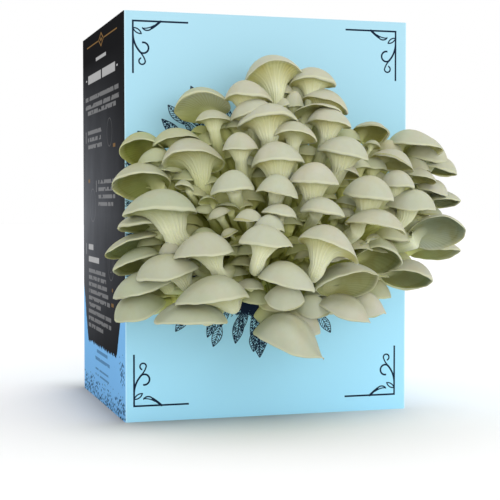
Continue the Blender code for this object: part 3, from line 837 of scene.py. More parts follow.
    def black_sheet(self, bench: Bench, plate: PrintPlate, place: Wire) -> Wire:
        """The black sheet of the left side, with a painted grey sheen across its middle and its marks in pale
        and gold.

        Args:
            bench: The material.
            plate: The drawing's axes.
            place: Object coordinates.

        Returns:
            Its colour.
        """
        along, z = plate.across, plate.upward
        # Painted sheen: the black turns grey towards mid height and towards the back edge, unevenly streaked,
        # in the place of a soft reflection
        middle = (1.0 - (z - 112.0).size() / 95.0).most(0.0)
        inward = (1.0 - along / (CARTON_DEPTH / MM)).most(0.0)
        sheen_streaks = bench.noise(bench.stretched(place, (0, 26, 15)), 1.0, 3.0)
        sheen_share = middle * (inward * 0.8 + 0.15) * (sheen_streaks + 0.5)
        colour = bench.blend(sheen_share, self.black, self.painted_sheen_grey)
        lozenge = (along - 67.0).size() * 0.5 + (z - 216.1).size()
        sprig = lozenge.under(4.4, 0.3) - lozenge.under(3.3, 0.3) + lozenge.under(1.4, 0.3)
        prints = (
            (self.word_bars(bench, plate, place, BODY_LINES), 0.28, self.chalk),
            (plate.bars(HEADING_BARS), 0.75, self.chalk),
            (plate.bars(MARK_BARS), 0.5, self.chalk),
            (plate.bars(RULE_BARS).most(sprig), 0.75, self.gold),
            (plate.bars(TICK_BARS), 0.6, self.gold),
            (united(plate.hoop(*hoop) for hoop in SKETCH_HOOPS), 0.14, self.chalk),
        )
        for mask, strength, ink in prints:
            colour = bench.blend(mask * strength, colour, ink)
        return colour

    def word_bars(self, bench: Bench, plate: PrintPlate, place: Wire, lines: tuple[Bar, ...]) -> Wire:
        """Plain broken bars in the place of lines of print.

        Args:
            bench: The material.
            plate: The drawing's axes.
            place: Object coordinates, for the gaps.
            lines: For each line its left and right end, its middle height and half of its thickness.

        Returns:
            The bars as a mask.
        """
        ends = ((left, right, middle - thick, middle + thick) for left, right, middle, thick in lines)
        drawn = plate.bars(ends)
        gaps = bench.noise(bench.stretched(place, (0, 190, 230)), 1.0, 0.0)
        return drawn * gaps.over(0.36, 0.03)


@dataclass(frozen=True)
class SpawnFinish:
    """The spawn block: straw and sawdust grown through with white, under clear film."""

    straw: Triple = (0.30, 0.19, 0.09)
    growth: Triple = (0.74, 0.71, 0.64)

    def make(self) -> bpy.types.Material:
        """Builds the material.

        Returns:
            The block's finish.
        """
        bench = Bench("spawn_block_in_film")
        place = bench.place()
        flakes = bench.noise(place, 160.0, 5.0, 0.7)
        patches = bench.noise(place, 30.0, 3.0)
        grown = (patches + flakes * 0.5).over(0.72, 0.25)
        creases = bench.noise(bench.stretched(place, (60, 60, 14)), 1.0, 3.0)
        bench.dress(Base_Color=bench.blend(grown, self.straw, self.growth), Roughness=0.28, Coat_Weight=0.4)
        bench.bump(creases + flakes * 0.25, 0.6, 1.5 * MM)
        return bench.material


@dataclass(frozen=True)
class FleshFinish:
    """A mushroom's skin, gills and stem, which follow the growth attribute from crown to foot."""

    skin: Triple = (0.442, 0.438, 0.352)
    skin_shade: Triple = (0.405, 0.412, 0.295)
    skin_green: Triple = (0.400, 0.435, 0.320)
    crown: Triple = (0.420, 0.410, 0.255)
    # Painted shade on the skin of the caps at the cluster's left
    left_skin_painted_shade: Triple = (0.860, 0.880, 0.820)
    margin: Triple = (0.500, 0.510, 0.350)
    gills: Triple = (0.480, 0.478, 0.222)
    # Painted shade between the gills
    gill_gaps_painted_shade: Triple = (0.300, 0.305, 0.110)
    left_shade: Triple = (0.470, 0.525, 0.400)
    right_shade: Triple = (0.460, 0.570, 1.150)
    # Painted light on the stems at the cluster's far right
    right_stem_painted_light: Triple = (1.180, 1.230, 1.500)
    stem: Triple = (0.610, 0.630, 0.460)
    foot: Triple = (0.440, 0.450, 0.240)
    # Painted shade for what lies deep in the cluster
    shelter_painted_shade: Triple = (0.920, 0.930, 0.390)
    # Painted shade in a hollow underside
    hollow: Triple = (0.300, 0.350, 0.240)
    # Painted light that pales a hollow where the hollow attribute is below 0
    pale: Triple = (0.480, 0.505, 0.450)
    speckle: Triple = (0.880, 0.900, 0.800)
    blush: Triple = (1.020, 0.960, 0.940)
    ochre: Triple = (0.920, 0.850, 0.620)

    def make(self) -> bpy.types.Material:
        """Builds the material.

        Returns:
            A soft translucent flesh, with painted shade and painted light in its colour. It reads the
            attributes growth (0 crown, 1 rim, 2 flare, 3 neck, 4 foot), spoke (the direction around the
            cap), ridge (1 on a gill's edge), depth (1 far behind the large caps, where painted shade is
            full), tone (a share drawn for each mushroom), side (-1 at the far left of the cluster, 1 at
            the right, which sets painted shade and painted light at either end) and hollow (painted shade
            above 0, painted light below).
        """
        bench = Bench("oyster_mushroom_flesh")
        place = bench.place()
        names = ("growth", "ridge", "depth", "tone", "side", "hollow")
        growth, ridge, depth, tone, side, hollow = (bench.attribute(name) for name in names)
        spoke = bench.attribute("spoke", "Vector")

        clouds = bench.noise(place, 60.0, 4.0)
        mottle = bench.noise(place, 420.0, 3.0)
        patches = bench.noise(place, 85.0, 2.0)
        skin = bench.blend(clouds.over(0.48, 0.34), self.skin_shade, self.skin)
        skin = bench.blend(tone * 0.7, skin, self.skin_green)
        skin = bench.blend(growth.under(0.3, 0.6) * 0.55, skin, self.crown)
        skin = bench.tint(skin, patches.over(0.52, 0.16) * 0.7, self.blush)
        # Painted shade: the caps' skin grows darker and greener towards the cluster's left
        skin = bench.tint(skin, (-side).over(0.5, 0.6), self.left_skin_painted_shade)
        skin = bench.tint(skin, mottle.over(0.55, 0.3) * 0.2, self.speckle)
        skin = bench.blend((growth - 1.0).size().under(0.03, 0.03) * 0.6, skin, self.margin)

        lamellae = bench.noise(bench.stretched(spoke, (26, 26, 26)), 1.0, 2.0)
        # Painted shade: the gaps between the gills are coloured darker than the gills' edges
        gill = bench.blend(ridge * 0.75 + lamellae.over(0.5, 0.4) * 0.25, self.gill_gaps_painted_shade, self.gills)
        gill = bench.tint(gill, patches.over(0.50, 0.16), self.ochre)
        # Painted light: where the hollow attribute is below 0, the gills turn pale as if lit
        gill = bench.blend(-hollow * (ridge * 0.7 + 0.3), gill, self.pale)
        gill = bench.tint(gill, (-side).over(0.58, 0.4), self.left_shade)
        gill = bench.tint(gill, side.over(0.82, 0.3), self.right_shade)
        gill = bench.blend(growth.under(1.5, 0.8) * 0.7, gill, self.skin_shade)
        # Painted shade: the hollow underside is darkened as far as the hollow attribute is above 0
        gill = bench.tint(gill, hollow, self.hollow)
        fibres = bench.noise(bench.stretched(spoke, (9, 9, 9)), 1.0, 4.0, 0.7)
        stem = bench.blend(fibres.over(0.5, 0.5) * 0.5, self.stem, self.gills)
        stem = bench.blend(growth.over(3.55, 1.0), stem, self.foot)
        # Painted light: the stems at the cluster's far right are lightened and turned bluer
        stem = bench.tint(stem, side.over(0.85, 0.2), self.right_stem_painted_light)

        beneath = growth.over(1.06, 0.06)
        stemward = growth.over(2.40, 0.9)
        colour = bench.blend(beneath, skin, gill)
        colour = bench.blend(stemward, colour, stem)
        # Painted shade: the flesh turns darker and more olive the deeper it lies behind the large caps
        colour = bench.tint(colour, depth, self.shelter_painted_shade)

        bench.dress(
            Base_Color=colour,
            Roughness=0.50 + mottle * 0.12,
            Specular_IOR_Level=0.30,
            Subsurface_Weight=0.35,
            Subsurface_Radius=(1.0, 0.85, 0.35),
            Subsurface_Scale=1.5 * MM,
        )
        folds = lamellae * beneath * (1.0 - stemward) * 1.2 + fibres * stemward * 0.9
        pores = bench.noise(place, 1500.0, 2.0)
        dents = bench.noise(place, 130.0, 2.0)
        wrinkles = dents * (0.8 * (1.0 - beneath) - hollow * 1.6)
        bench.bump(folds + pores * 0.12 + wrinkles, 0.55, 0.5 * MM)
        return bench.material


# The middle of the cluster, and how far it reaches to either side
CLUSTER_MIDDLE = 5 * MM
CLUSTER_REACH = 100 * MM

# Caps: depths are shares of the half width, lift and arch of the dome's height, flesh of the width
FRONT_DEPTH = 0.75
BACK_DEPTH = 0.6
BACK_LIFT = 0.4
GILL_ARCH = 0.18
RIM_FLESH = 0.014
RIM_FOLD = 0.25
POINTED_CORNERS = 0.28
SLANT_ARCH = 0.35
SLANT_NECK = 0.25
SLANT_DROP = 0.6
SLANT_FROM = 0.78
SLANT_WITHIN = 0.2
SLANT_FLAT = 0.5
SLANT_START = 0.6
SLANT_FALL = 0.8
SLANT_TURN = 0.75
MOST_SKEW = 0.2
TIP_RISE = 1.3
SHALLOW_SHARE = 0.5
FULL_OPEN_LEAN = 40
OPEN_LIFT = 0.8
OPEN_SLIM = 0.26
OPEN_MOUTH = 0.17

# Stems: the neck's radius and drop are shares of the cap's width
STEM_FLARE = 0.62
FLARE_FALL = 0.05
FLARE_WIDTH = 1.5
FLARE_RISE = 0.5
STEM_TO_SIDE = 0.30
SLANT_TO_SIDE = 0.54
NECK_RADIUS = 0.17
NECK_DROP = 0.36
BENT_MOUTH = 0.44
BENT_DROP = 0.3
DISH_SHARE = 0.5
DISH_END = 0.35
DISH_MOUTH = 0.15
GILLS_TURN_DOWN = 0.84
STEM_BEND = 0.3
STEM_STEPS = 12
FOOT_RADIUS = 4.2 * MM
FOOT_SPREAD = 1.12
FOOT_SPREAD_BY = 0.85
FOOT_SWELL = 0.5
FOOT_SWELL_FROM = 0.86
STEM_WAIST = 0.10
DOME_SIDES = 0.72
DOME_ENDS = 0.95
DOME_TIP = 0.5
ROOT_BELOW_MIDDLE = 8 * MM
FOOT_SPACING = 0.23
FOOT_ROUNDS = 60
FOOT_FORWARD = 0.3
NEAREST_FOOT = 8 * MM

# Waves around a ring: how many there are, and their height. Those of the rim are shares of its
# reach, the ripples of the cap's width, and those of the stem of its radius
RIM_WAVES = ((2, 0.022), (3, 0.020), (7, 0.012))
RIPPLE_WAVES = ((3, 0.009), (5, 0.007), (13, 0.003))
STEM_WAVES = ((2, 0.05), (3, 0.035), (5, 0.02))
STEM_TWIST = 3

# The rim's lower edge: where its fold lies in the flesh, how far it is drawn in, and its growth
LIP_FOLD = 0.35
LIP_INSET = 0.008
LIP_GROWTH = 1.04

# Surface: the gills' number, their height as a share of the cap's width, and the low swellings'
# height in millimetres, with the direction and the length of each wave
GILL_COUNT = 44
GILL_HEIGHT = 0.010
LUMP_HEIGHT = 0.35
LUMP_WAVES = (((1, 0.4, 0.3), 11), ((-0.3, 1, 0.5), 8), ((0.2, -0.6, 1), 6), ((0.8, 0.7, -0.6), 4.5))
HOLLOW_ENDS = 2.5
SUNK_HOLLOW_ENDS = 3.2

# Base of the cluster, with a knob around each foot
BASE_LIP = 3 * MM
BASE_REACH = 34 * MM
BASE_LUMP = 0.05
BASE_RADII = np.array((WINDOW_HALF_WIDTH + BASE_LIP, BASE_REACH, WINDOW_HALF_HEIGHT + BASE_LIP))
BASE_RINGS = 44
BASE_SEGMENTS = 176
BASE_OVER_SOLID = 0.6 * MM
KNOB_RADIUS = 4.6 * MM
KNOB_HEIGHT = 3.4 * MM
MOST_KNOB = 1.15
KNOBS_FULL_BY = 0.35
BACK_RINGS = 4
BACK_SHARES = np.array([1.0, 1.0, 0.925, 0.925, 0.0])
BACK_PLACES = np.array([0.0, -0.35, -0.35, 1.6, 1.6]) * MM
# The base lies deepest, so depth 1 gives it the full painted shade of the cluster's inside
BASE_ATTRIBUTES = {"growth": 3.7, "ridge": 0.5, "tone": 0.4, "side": 0.0, "hollow": 0.0, "depth": 1.0}

# Young mushrooms: the grid on which they are tried, and the room that they need, in millimetres
YOUNG_SEED = 11
YOUNG_ROWS = np.arange(184.0, 44.0, -5.0)
YOUNG_COLUMNS = np.arange(-82.0, 104.0, 5.5)
YOUNG_SHIFT = 2
YOUNG_WIDTHS = (13, 21)
YOUNG_TILT = 2.5
YOUNG_LEANS = (-14, 12)
YOUNG_SUNK = (0.66, 0.82)
YOUNG_LOWERED = 0.12
YOUNG_CROWN = 0.36
YOUNG_RIM = 0.05
CLOSE_CAPS = 34
NEAREST_CAPS = 4
WIDEST_OPENING = math.radians(125)

# What a cap hides of the panel, as shares of its width and of its crown, and a margin in millimetres
HIDING_INSET = 0.06
HIDING_CROWN = 0.85
HIDING_MARGIN = 2
HIDING_GILLS = 0.2
HIDING_STEM = 0.32

# Numbers that seed the irregularities of the smaller mushrooms
FIRST_SMALL = 101
FIRST_YOUNG_UPPER = 201
FIRST_YOUNG_LOWER = 301

# Painted shade deep in the cluster: how much cover a cap loses with distance to its side, and the depth of
# full painted shade
CANOPY_SLOPE = 0.55
CANOPY_DEPTH = 32 * MM

# Caps whose crown stands well to the left (above 0) or to the right of their middle
SKEWED = {57: 0.5, 19: 0.1, 38: 0.3, 49: 0.25, 50: 0.0, 53: 0.2, 34: -0.2, 36: 0.2}

# Caps whose right end runs out into a tip
TIPPED = {57: 0.8, 54: 0.7, 55: 0.6, 49: 0.3, 39: 0.3, 12: 0.3}

# Caps that show a hollow underside, with the stem at its far side, and how dark its painted shade
# makes the hollow, or how pale its painted light makes it where the number is below 0
DISHED = {4: 0.4, 13: 0.4, 14: -1.0, 19: 0.0, 20: 0.05, 22: 0.4, 23: 0.6, 24: 0.5, 37: 0.5, 38: 0.15}
DISHED |= {39: 0.2, 40: 0.75, 42: 0.4, 43: 0.65, 44: 0.8, 50: 0.0, 51: 0.4, 52: 1.0, 53: 0.65, 116: 0.85}

# Caps that reach further back than the rest, as shares of the half width
DEEP_BACKS = {19: 0.95, 20: 0.8, 23: 0.7, 24: 0.7, 37: 0.9, 38: 0.8}
DEEP_BACKS |= {50: 0.68, 51: 0.6, 52: 0.68, 53: 0.85, 116: 0.8}

# Caps whose hollow takes painted light on one side and painted shade on the other: the angle of the lit side
# from the cap's right, how dark the painted shade is and how much that changes, and how far it is cooler than
# its place asks
LIT_SIDES = {50: math.radians(135)}
LIT_HOLLOW = 0.25
LIT_SWING = 0.60
LIT_COOLER = 0.14

# Caps whose stem leaves through the side of the cap, out of sight
SUNK_STEMS = (19, 37, 51, 52, 53, 116)


def rows(vectors: list[Vector]) -> np.ndarray:
    """Vectors as the rows of an array."""
    return np.array([tuple(vector) for vector in vectors])


class TubeTemplate:
    """A closed tube of unit radius, whose vertices are later moved to a mushroom's rings."""

    def __init__(self, rings: int, segments: int) -> None:
        """Spins a column into a tube, and closes it at a pole at either end.

        Args:
            rings: The number of rings, poles included. Ring 0 is the crown.
            segments: The number of vertices around.
        """
        bm = bmesh.new()
        column = [bm.verts.new((0 if ring in (0, rings - 1) else 1, 0, -ring)) for ring in range(rings)]
        sides = [bm.edges.new(pair) for pair in zip(column, column[1:])]
        bmesh.ops.spin(
            bm, geom=column + sides, cent=(0, 0, 0), axis=UP, angle=math.tau, steps=segments, use_merge=True
        )
        bmesh.ops.remove_doubles(bm, verts=bm.verts, dist=1e-5)
        bmesh.ops.recalc_face_normals(bm, faces=bm.faces)
        self.mesh = bpy.data.meshes.new("tube_template")
        bm.to_mesh(self.mesh)
        bm.free()
        place = np.empty(len(self.mesh.vertices) * 3)
        self.mesh.vertices.foreach_get("co", place)
        place = place.reshape(-1, 3)
        self.angle = np.arctan2(place[:, 1], place[:, 0])
        self.ring = np.rint(-place[:, 2]).astype(int)

    def copy(self, name: str) -> bpy.types.Mesh:
        """A new mesh with this template's faces.

        Args:
            name: The mesh's name.

        Returns:
            The mesh.
        """
        made = self.mesh.copy()
        made.name = name
        return made


def set_attribute(mesh: bpy.types.Mesh, name: str, values: np.ndarray) -> None:
    """Stores one number or one vector for each vertex of a mesh.

    Args:
        mesh: The mesh.
        name: The attribute's name.
        values: One row for each vertex.
    """
    vector = values.ndim == 2
    made = mesh.attributes.new(name, "FLOAT_VECTOR" if vector else "FLOAT", "POINT")
    made.data.foreach_set("vector" if vector else "value", values.astype(np.float32).ravel())


def move_vertices(mesh: bpy.types.Mesh, place: np.ndarray) -> None:
    """Puts every vertex of a mesh in its place."""
    mesh.vertices.foreach_set("co", place.astype(np.float32).ravel())
    mesh.update()


def vertex_normals(mesh: bpy.types.Mesh) -> np.ndarray:
    """The outward direction at every vertex.

    Args:
        mesh: The mesh.

    Returns:
        One row for each vertex.
    """
    found = np.empty(len(mesh.vertices) * 3, np.float32)
    mesh.vertex_normals.foreach_get("vector", found)
    return found.reshape(-1, 3).astype(float)


def around(angle: np.ndarray, height: np.ndarray | float) -> np.ndarray:
    """Spokes around a stem at an angle, with a third value."""
    return np.stack([np.cos(angle), np.sin(angle), np.broadcast_to(height, angle.shape)], axis=1)


def waves_around(angle: np.ndarray, waves: tuple[Point, ...], phases: Iterable[float]) -> np.ndarray:
    """Adds up the waves around a ring.

    Args:
        angle: The points' angles.
        waves: Each wave's number around the ring and its height.
        phases: Where each of them starts.

    Returns:
        Their sum at each point.
    """
    return sum(height * np.sin(count * angle + phase) for (count, height), phase in zip(waves, phases))


def eased(value: np.ndarray | float) -> np.ndarray:
    """A smooth step from 0 to 1."""
    held = np.clip(value, 0, 1)
    return held * held * (3 - 2 * held)


def painted_shade_depth(place: np.ndarray, canopy: np.ndarray) -> np.ndarray:
    """How far points lie behind the large caps around them, which sets their painted shade.

    Args:
        place: The points.
        canopy: The large caps' centres.

    Returns:
        0 for a point that is level with the caps, up to 1 for one that is deep between them.
    """
    cover = np.full(len(place), -np.inf)
    for x, y, z in canopy:
        aside = np.hypot(place[:, 0] - x, place[:, 2] - z)
        cover = np.maximum(cover, place[:, 1] - y - aside * CANOPY_SLOPE)
    return eased(cover / CANOPY_DEPTH)


@dataclass
class Growth:
    """The stations of a mushroom's rings: crown to rim, gills, flare to neck, and stem to foot."""

    top: tuple[float, ...] = (0.0, 0.1, 0.22, 0.36, 0.5, 0.63, 0.75, 0.84, 0.91, 0.955, 0.985, 0.998)
    gills: tuple[float, ...] = (0.975, 0.945, 0.9)
    flare: tuple[float, ...] = (0.0, 0.07, 0.14, 0.22, 0.31, 0.41, 0.52, 0.64, 0.76, 0.88, 1.0)
    stem: tuple[float, ...] = (0.06, 0.13, 0.21, 0.3, 0.4, 0.5, 0.6, 0.7, 0.8, 0.9, 1.0)

    def rings(self) -> int:
        """The number of rings, with the lip of the rim and the foot's pole."""
        return len(self.top) + 2 + len(self.gills) + len(self.flare) + len(self.stem) + 1


class Mushroom:
    """One mushroom in metres: its cap's frame, its stem's path, and the mesh grown on them."""

    def __init__(self, number: int, cap: Cap) -> None:
        """Places the cap where it is seen to line up with the front panel.

        Args:
            number: Seeds the small irregularities.
            cap: The cap's measures.
        """
        share = 1 - cap.out * MM / (FRONT_Y - EYE.y)
        left, right = (self.in_front(point, cap.out) for point in (cap.left, cap.right))
        self.centre = (left + right) / 2
        away = (self.centre - EYE).normalized()
        across = away.cross(UP).normalized()
        upward = across.cross(away)
        span = right - left
        roll = math.atan2(span.dot(upward), span.dot(across))
        lean = math.radians(cap.lean)
        self.half_width = math.hypot(span.dot(upward), span.dot(across)) / 2
        self.front_depth = FRONT_DEPTH * self.half_width
        self.back_depth = DEEP_BACKS.get(number, BACK_DEPTH) * self.half_width
        self.open = float(eased(-cap.lean / FULL_OPEN_LEAN))
        self.across = across * math.cos(roll) + upward * math.sin(roll)
        level_up = upward * math.cos(roll) - across * math.sin(roll)
        self.upward = level_up * math.cos(lean) - away * math.sin(lean)
        self.away = away * math.cos(lean) + level_up * math.sin(lean)
        crown, rim = cap.crown * MM * share, cap.rim * MM * share
        hidden = (self.back_depth if lean > 0 else self.front_depth) * math.sin(lean)
        tall = (crown + math.sqrt(max(crown * crown - hidden * hidden, 0))) / 2
        self.height = tall / math.cos(lean)
        self.curl = (rim + self.front_depth * math.sin(lean)) / math.cos(lean)
        self.number = number
        self.random = np.random.default_rng(number)
        self.waves = self.random.uniform(0, math.tau, 12)
        self.tone = self.random.uniform(0, 1)
        self.skew = SKEWED.get(number, self.random.uniform(-MOST_SKEW, MOST_SKEW))
        self.tip = TIPPED.get(number, 0.0)
        self.sideways = 0.0
        self.shallow = 1 - SHALLOW_SHARE * max(-DISHED.get(number, 0.0), 0.0)
        self.side = max(-1.0, min(1.0, (self.centre.x - CLUSTER_MIDDLE) / CLUSTER_REACH))
        self.gill_count = GILL_COUNT

    def in_front(self, point: Point, out: float) -> Vector:
        """The place on the line of sight through a point of the panel, so far in front of the panel."""
        seen = Vector((point[0] * MM, FRONT_Y, point[1] * MM))
        return seen + (EYE - seen) * (out * MM / (FRONT_Y - EYE.y))

    def in_cap(self, x: np.ndarray, y: np.ndarray, z: np.ndarray) -> np.ndarray:
        """Points of the cap's own frame in the object's."""
        frame = rows([self.across, self.away, self.upward])
        return np.array(self.centre) + np.stack([x, y, z], axis=-1) @ frame

    def cap_surface(self, x: np.ndarray, y: np.ndarray, under: float) -> np.ndarray:
        """Points on the cap's top or on its gills.

        Args:
            x, y: The points, as shares of the half width and of the depth, with the rim at 1.
            under: 1 for the gills and 0 for the top.

        Returns:
            The points in metres.
        """
        square = np.minimum(x * x + y * y, 1.0)
        inward = 1 - square
        arch = (GILL_ARCH + SLANT_ARCH * self.sideways) * self.shallow
        front = np.minimum(y, 0)
        fold = (np.sqrt(front * front + RIM_FOLD**2) - RIM_FOLD) / (math.hypot(1, RIM_FOLD) - RIM_FOLD)
        curl = self.curl * fold
        lift = self.height * BACK_LIFT * (1 - OPEN_LIFT * self.open) * y * y * (1 + y) / 2
        at_tip = self.tip * eased(x * TIP_RISE)
        ends = DOME_SIDES + DOME_TIP * at_tip - DOME_ENDS
        full = np.maximum(1 - x * x, 0.02) ** ends * (1 - self.skew * x)
        dome = self.height * (inward * arch if under else inward**DOME_ENDS * full)
        height = curl + lift + dome - under * 2 * self.half_width * RIM_FLESH
        angle = np.arctan2(y, x)
        a, b, c, d, e = self.waves[:5]
        reach = 1 + waves_around(angle, RIM_WAVES, (a, b, c)) * square
        ripple = waves_around(angle, RIPPLE_WAVES, (d, e, a))
        height = height + 2 * self.half_width * ripple * square**2
        depth = np.where(y < 0, self.front_depth, self.back_depth)
        sharp = POINTED_CORNERS * (1 - self.tip * eased(-x * TIP_RISE)) + at_tip
        pointed = np.maximum(np.abs(np.sin(angle)), 0.02) ** (sharp * square**2)
        return self.in_cap(x * self.half_width * reach, y * depth * reach * pointed, height)

    def gill_surface(self, angle: np.ndarray, t: float) -> np.ndarray:
        """Points of a ring on the gills, which draw together around the stem.

        Args:
            angle: The points' angles.
            t: How far out the ring lies, with the rim at 1.

        Returns:
            The points in metres.
        """
        x = t * np.cos(angle) + (1 - t) * self.stem_x
        y = t * np.sin(angle) + (1 - t) * self.stem_y
        return self.cap_surface(x, y, 1)

    def plant(self, direction: Vector) -> None:
        """Roots the stem at a place of the base, and bends it from there to the cap's near side.

        Args:
            direction: Where the foot lies, seen from the base's centre.
        """
        radii = Vector(BASE_RADII)
        foot_normal = Vector([part / radius for part, radius in zip(direction, radii)]).normalized()
        foot = BASE_CENTRE + Vector([part * radius for part, radius in zip(direction, radii)])
        foot = foot + foot_normal * (BASE_LUMP * BASE_REACH + GAP)
        width = 2 * self.half_width
        line = foot - self.centre
        side = Vector((line.dot(self.across), line.dot(self.away)))
        slant = side.length / line.length
        bent = BENT_STEMS.get(self.number)
        sideways = 0.0 if bent else float(eased((slant - SLANT_FROM) / SLANT_WITHIN))
        sideways = self.sideways = 1.0 if self.number in DISHED else sideways
        side.y *= 1 - SLANT_FLAT * sideways
        self.stem_x, self.stem_y = side.normalized() * (STEM_TO_SIDE + SLANT_TO_SIDE * sideways)
        slim = 1 - OPEN_SLIM * self.open * (1 - sideways)
        self.neck = width * NECK_RADIUS * (1 - SLANT_NECK * sideways) * slim
        self.mouth = (STEM_FLARE - OPEN_MOUTH * self.open) * (1 - sideways) + DISH_MOUTH * sideways
        if bent:
            self.stem_x, self.stem_y = bent.beside, bent.behind
            self.neck = width * bent.radius
            self.mouth = BENT_MOUTH
        middle = np.array([[(1 - self.mouth) * self.stem_x], [(1 - self.mouth) * self.stem_y]])
        top = Vector(self.cap_surface(middle[0], middle[1], 1)[0])
        self.drop = width * NECK_DROP * (1 - SLANT_DROP * sideways)
        collar = top - self.upward * self.drop
        towards = (foot - collar).normalized()
        start = (towards * (1 + sideways) - self.upward * (1 - SLANT_START * sideways)).normalized()
        if self.number in SUNK_STEMS:
            start = (foot - top).normalized()
            collar = top + start * self.drop
        if bent:
            start = Vector(bent.towards).normalized()
            self.drop = width * BENT_DROP
            collar = top + start * self.drop
        bend = (foot - collar).length * STEM_BEND
        straight = bent.straight * MM if bent else bend
        self.path = (collar, collar + start * straight, foot + foot_normal * bend, foot)
        self.foot = foot

    def stem_line(self, s: float) -> tuple[Vector, Vector]:
        """One place along the stem.

        Args:
            s: The share of its length from the collar.

        Returns:
            Its centre and direction there.
        """
        a, b, c, d = self.path
        r = 1 - s
        place = a * r**3 + b * 3 * r * r * s + c * 3 * r * s * s + d * s**3
        along = (b - a) * r * r + (c - b) * 2 * r * s + (d - c) * s * s
        return place, along.normalized()

    def stem_frame(self, s: float) -> tuple[Vector, Vector, Vector]:
        """The frame of a ring, whose spokes don't twist around the stem.

        Args:
            s: The share of the stem's length from the collar.

        Returns:
            The stem's centre there and two spokes.
        """
        first, second = self.across.copy(), self.away.copy()
        before = -self.upward
        for step in range(STEM_STEPS + 1):
            place, along = self.stem_line(s * step / STEM_STEPS)
            turn = before.rotation_difference(along)
            first, second = turn @ first, turn @ second
            before = along
        return place, first, second

    def stem_ring(self, angle: np.ndarray, s: float) -> np.ndarray:
        """Points of a ring of the stem, a little flattened and knobbly.

        Args:
            angle: The points' angles.
            s: The share of the stem's length from the collar.

        Returns:
            The points in metres.
        """
        place, first, second = self.stem_frame(s)
        foot = min(self.neck, FOOT_RADIUS)
        radius = self.neck + (foot * FOOT_SPREAD - self.neck) * float(eased(s / FOOT_SPREAD_BY))
        swell = FOOT_SWELL * max(s - FOOT_SWELL_FROM, 0)
        radius = radius * (1 - STEM_WAIST * math.sin(math.pi * s) + swell)
        a, b, c = self.waves[5:8]
        ribs = 1 + waves_around(angle, STEM_WAVES, (a, b + STEM_TWIST * s, c))
        spokes = np.outer(np.cos(angle), np.array(first)) + np.outer(np.sin(angle), np.array(second))
        return np.array(place) + spokes * (radius * ribs)[:, None]

    def out_of_dish(self, v: float) -> float:
        """How far a station of the flare has left the hollow underside for the stem, from 0 to 1."""
        held = DISH_SHARE * self.sideways
        return max(v - held, 0) / (1 - held)

    def flare_ring(self, angle: np.ndarray, v: float) -> np.ndarray:
        """Points of a ring where the gills turn down and run along the stem.

        Args:
            angle: The points' angles.
            v: The ring's station, from 0 at the gills to 1 at the neck.

        Returns:
            The points in metres.
        """
        inward = self.sideways * min(v / DISH_SHARE, 1)
        edge = self.gill_surface(angle, GILLS_TURN_DOWN - (GILLS_TURN_DOWN - DISH_END) * inward)
        fall = 2 * self.half_width * FLARE_FALL * (1 - SLANT_FALL * self.sideways)
        inner = self.gill_surface(angle, self.mouth) - np.array(self.upward) * fall
        neck = self.stem_ring(angle, 0.0)
        collar, along = self.stem_line(0.0)
        turn = SLANT_TURN * self.sideways
        turned = (along * (1 - turn) - self.upward * turn).normalized()
        wide = np.array(collar) + (neck - np.array(collar)) * FLARE_WIDTH
        above = wide - np.array(turned) * (self.drop * FLARE_RISE)
        u = self.out_of_dish(v)
        r = 1 - u
        return edge * r**3 + inner * 3 * r * r * u + above * 3 * r * u * u + neck * u**3

    def rings_of(self, angle: np.ndarray, stations: Growth) -> Iterator[tuple[np.ndarray, float, float]]:
        """The rings from the crown to the foot.

        Args:
            angle: The points' angles.
            stations: Where the rings lie.

        Yields:
            Each ring's points, its growth from 0 at the crown to 4 at the foot, and its gills' depth.
        """
        droop = np.array(self.upward) * (2 * self.half_width * RIM_FLESH)
        for t in stations.top:
            yield self.cap_surface(t * np.cos(angle), t * np.sin(angle), 0), t, 0
        rim = self.cap_surface(np.cos(angle), np.sin(angle), 0)
        yield rim - droop * LIP_FOLD, 1.0, 0
        yield rim - droop - (rim - np.array(self.centre)) * LIP_INSET, LIP_GROWTH, 0
        for t in stations.gills:
            yield self.gill_surface(angle, t), 1 + (1 - t) / (1 - GILLS_TURN_DOWN), (1 - t) * 2.5
        for v in stations.flare:
            u = self.out_of_dish(v)
            yield self.flare_ring(angle, v), 2 + u, min(0.4 + 2.4 * u, 1 - 0.35 * u)
        for s in stations.stem:
            yield self.stem_ring(angle, s), 3 + s, max(0.65 - 2.2 * s, 0.10 * (1 - s))
        yield np.tile(np.array(self.foot), (len(angle), 1)), 4, 0

    def ridges(self, angle: np.ndarray, growth: np.ndarray) -> tuple[np.ndarray, np.ndarray]:
        """The gills, which are uneven and run together in pairs down the stem.

        Args:
            angle: The vertices' angles.
            growth: Their growth.

        Returns:
            1 on a gill's edge and 0 between two, and how tall the gills are, in metres.
        """
        drift = 0.6 * np.sin(angle * 3 + self.waves[8])
        uneven = 0.65 + 0.35 * np.sin(angle * 7 + self.waves[9]) * np.sin(angle * 5 + self.waves[10])
        fine = np.cos(angle * self.gill_count + drift)
        coarse = np.cos(angle * (self.gill_count // 2) + drift)
        run_together = eased(growth - 1.9)
        smooth = (1 - 0.75 * self.sideways) * (2 - self.shallow) ** 2
        tall = 2 * self.half_width * (GILL_HEIGHT + GILL_HEIGHT * run_together) * smooth
        return 0.5 + 0.5 * uneven * (fine + (coarse - fine) * run_together), tall

    def painted_hollow_shade(self, angle: np.ndarray, growth: np.ndarray) -> np.ndarray:
        """How dark the painted shade of the hollow underside is, or how pale its painted light.

        Args:
            angle: The vertices' angles.
            growth: Their growth.

        Returns:
            1 where the painted shade is darkest, 0 outside it, and less where painted light makes it pale.
        """
        hollow = np.full(len(angle), DISHED.get(self.number, 0.0))
        if self.number in LIT_SIDES:
            hollow += LIT_HOLLOW - LIT_SWING * np.cos(angle - LIT_SIDES[self.number])
        last = SUNK_HOLLOW_ENDS if self.number in SUNK_STEMS else HOLLOW_ENDS
        return hollow * eased((growth - LIP_GROWTH) / 0.3) * eased((last - growth) / 0.4)

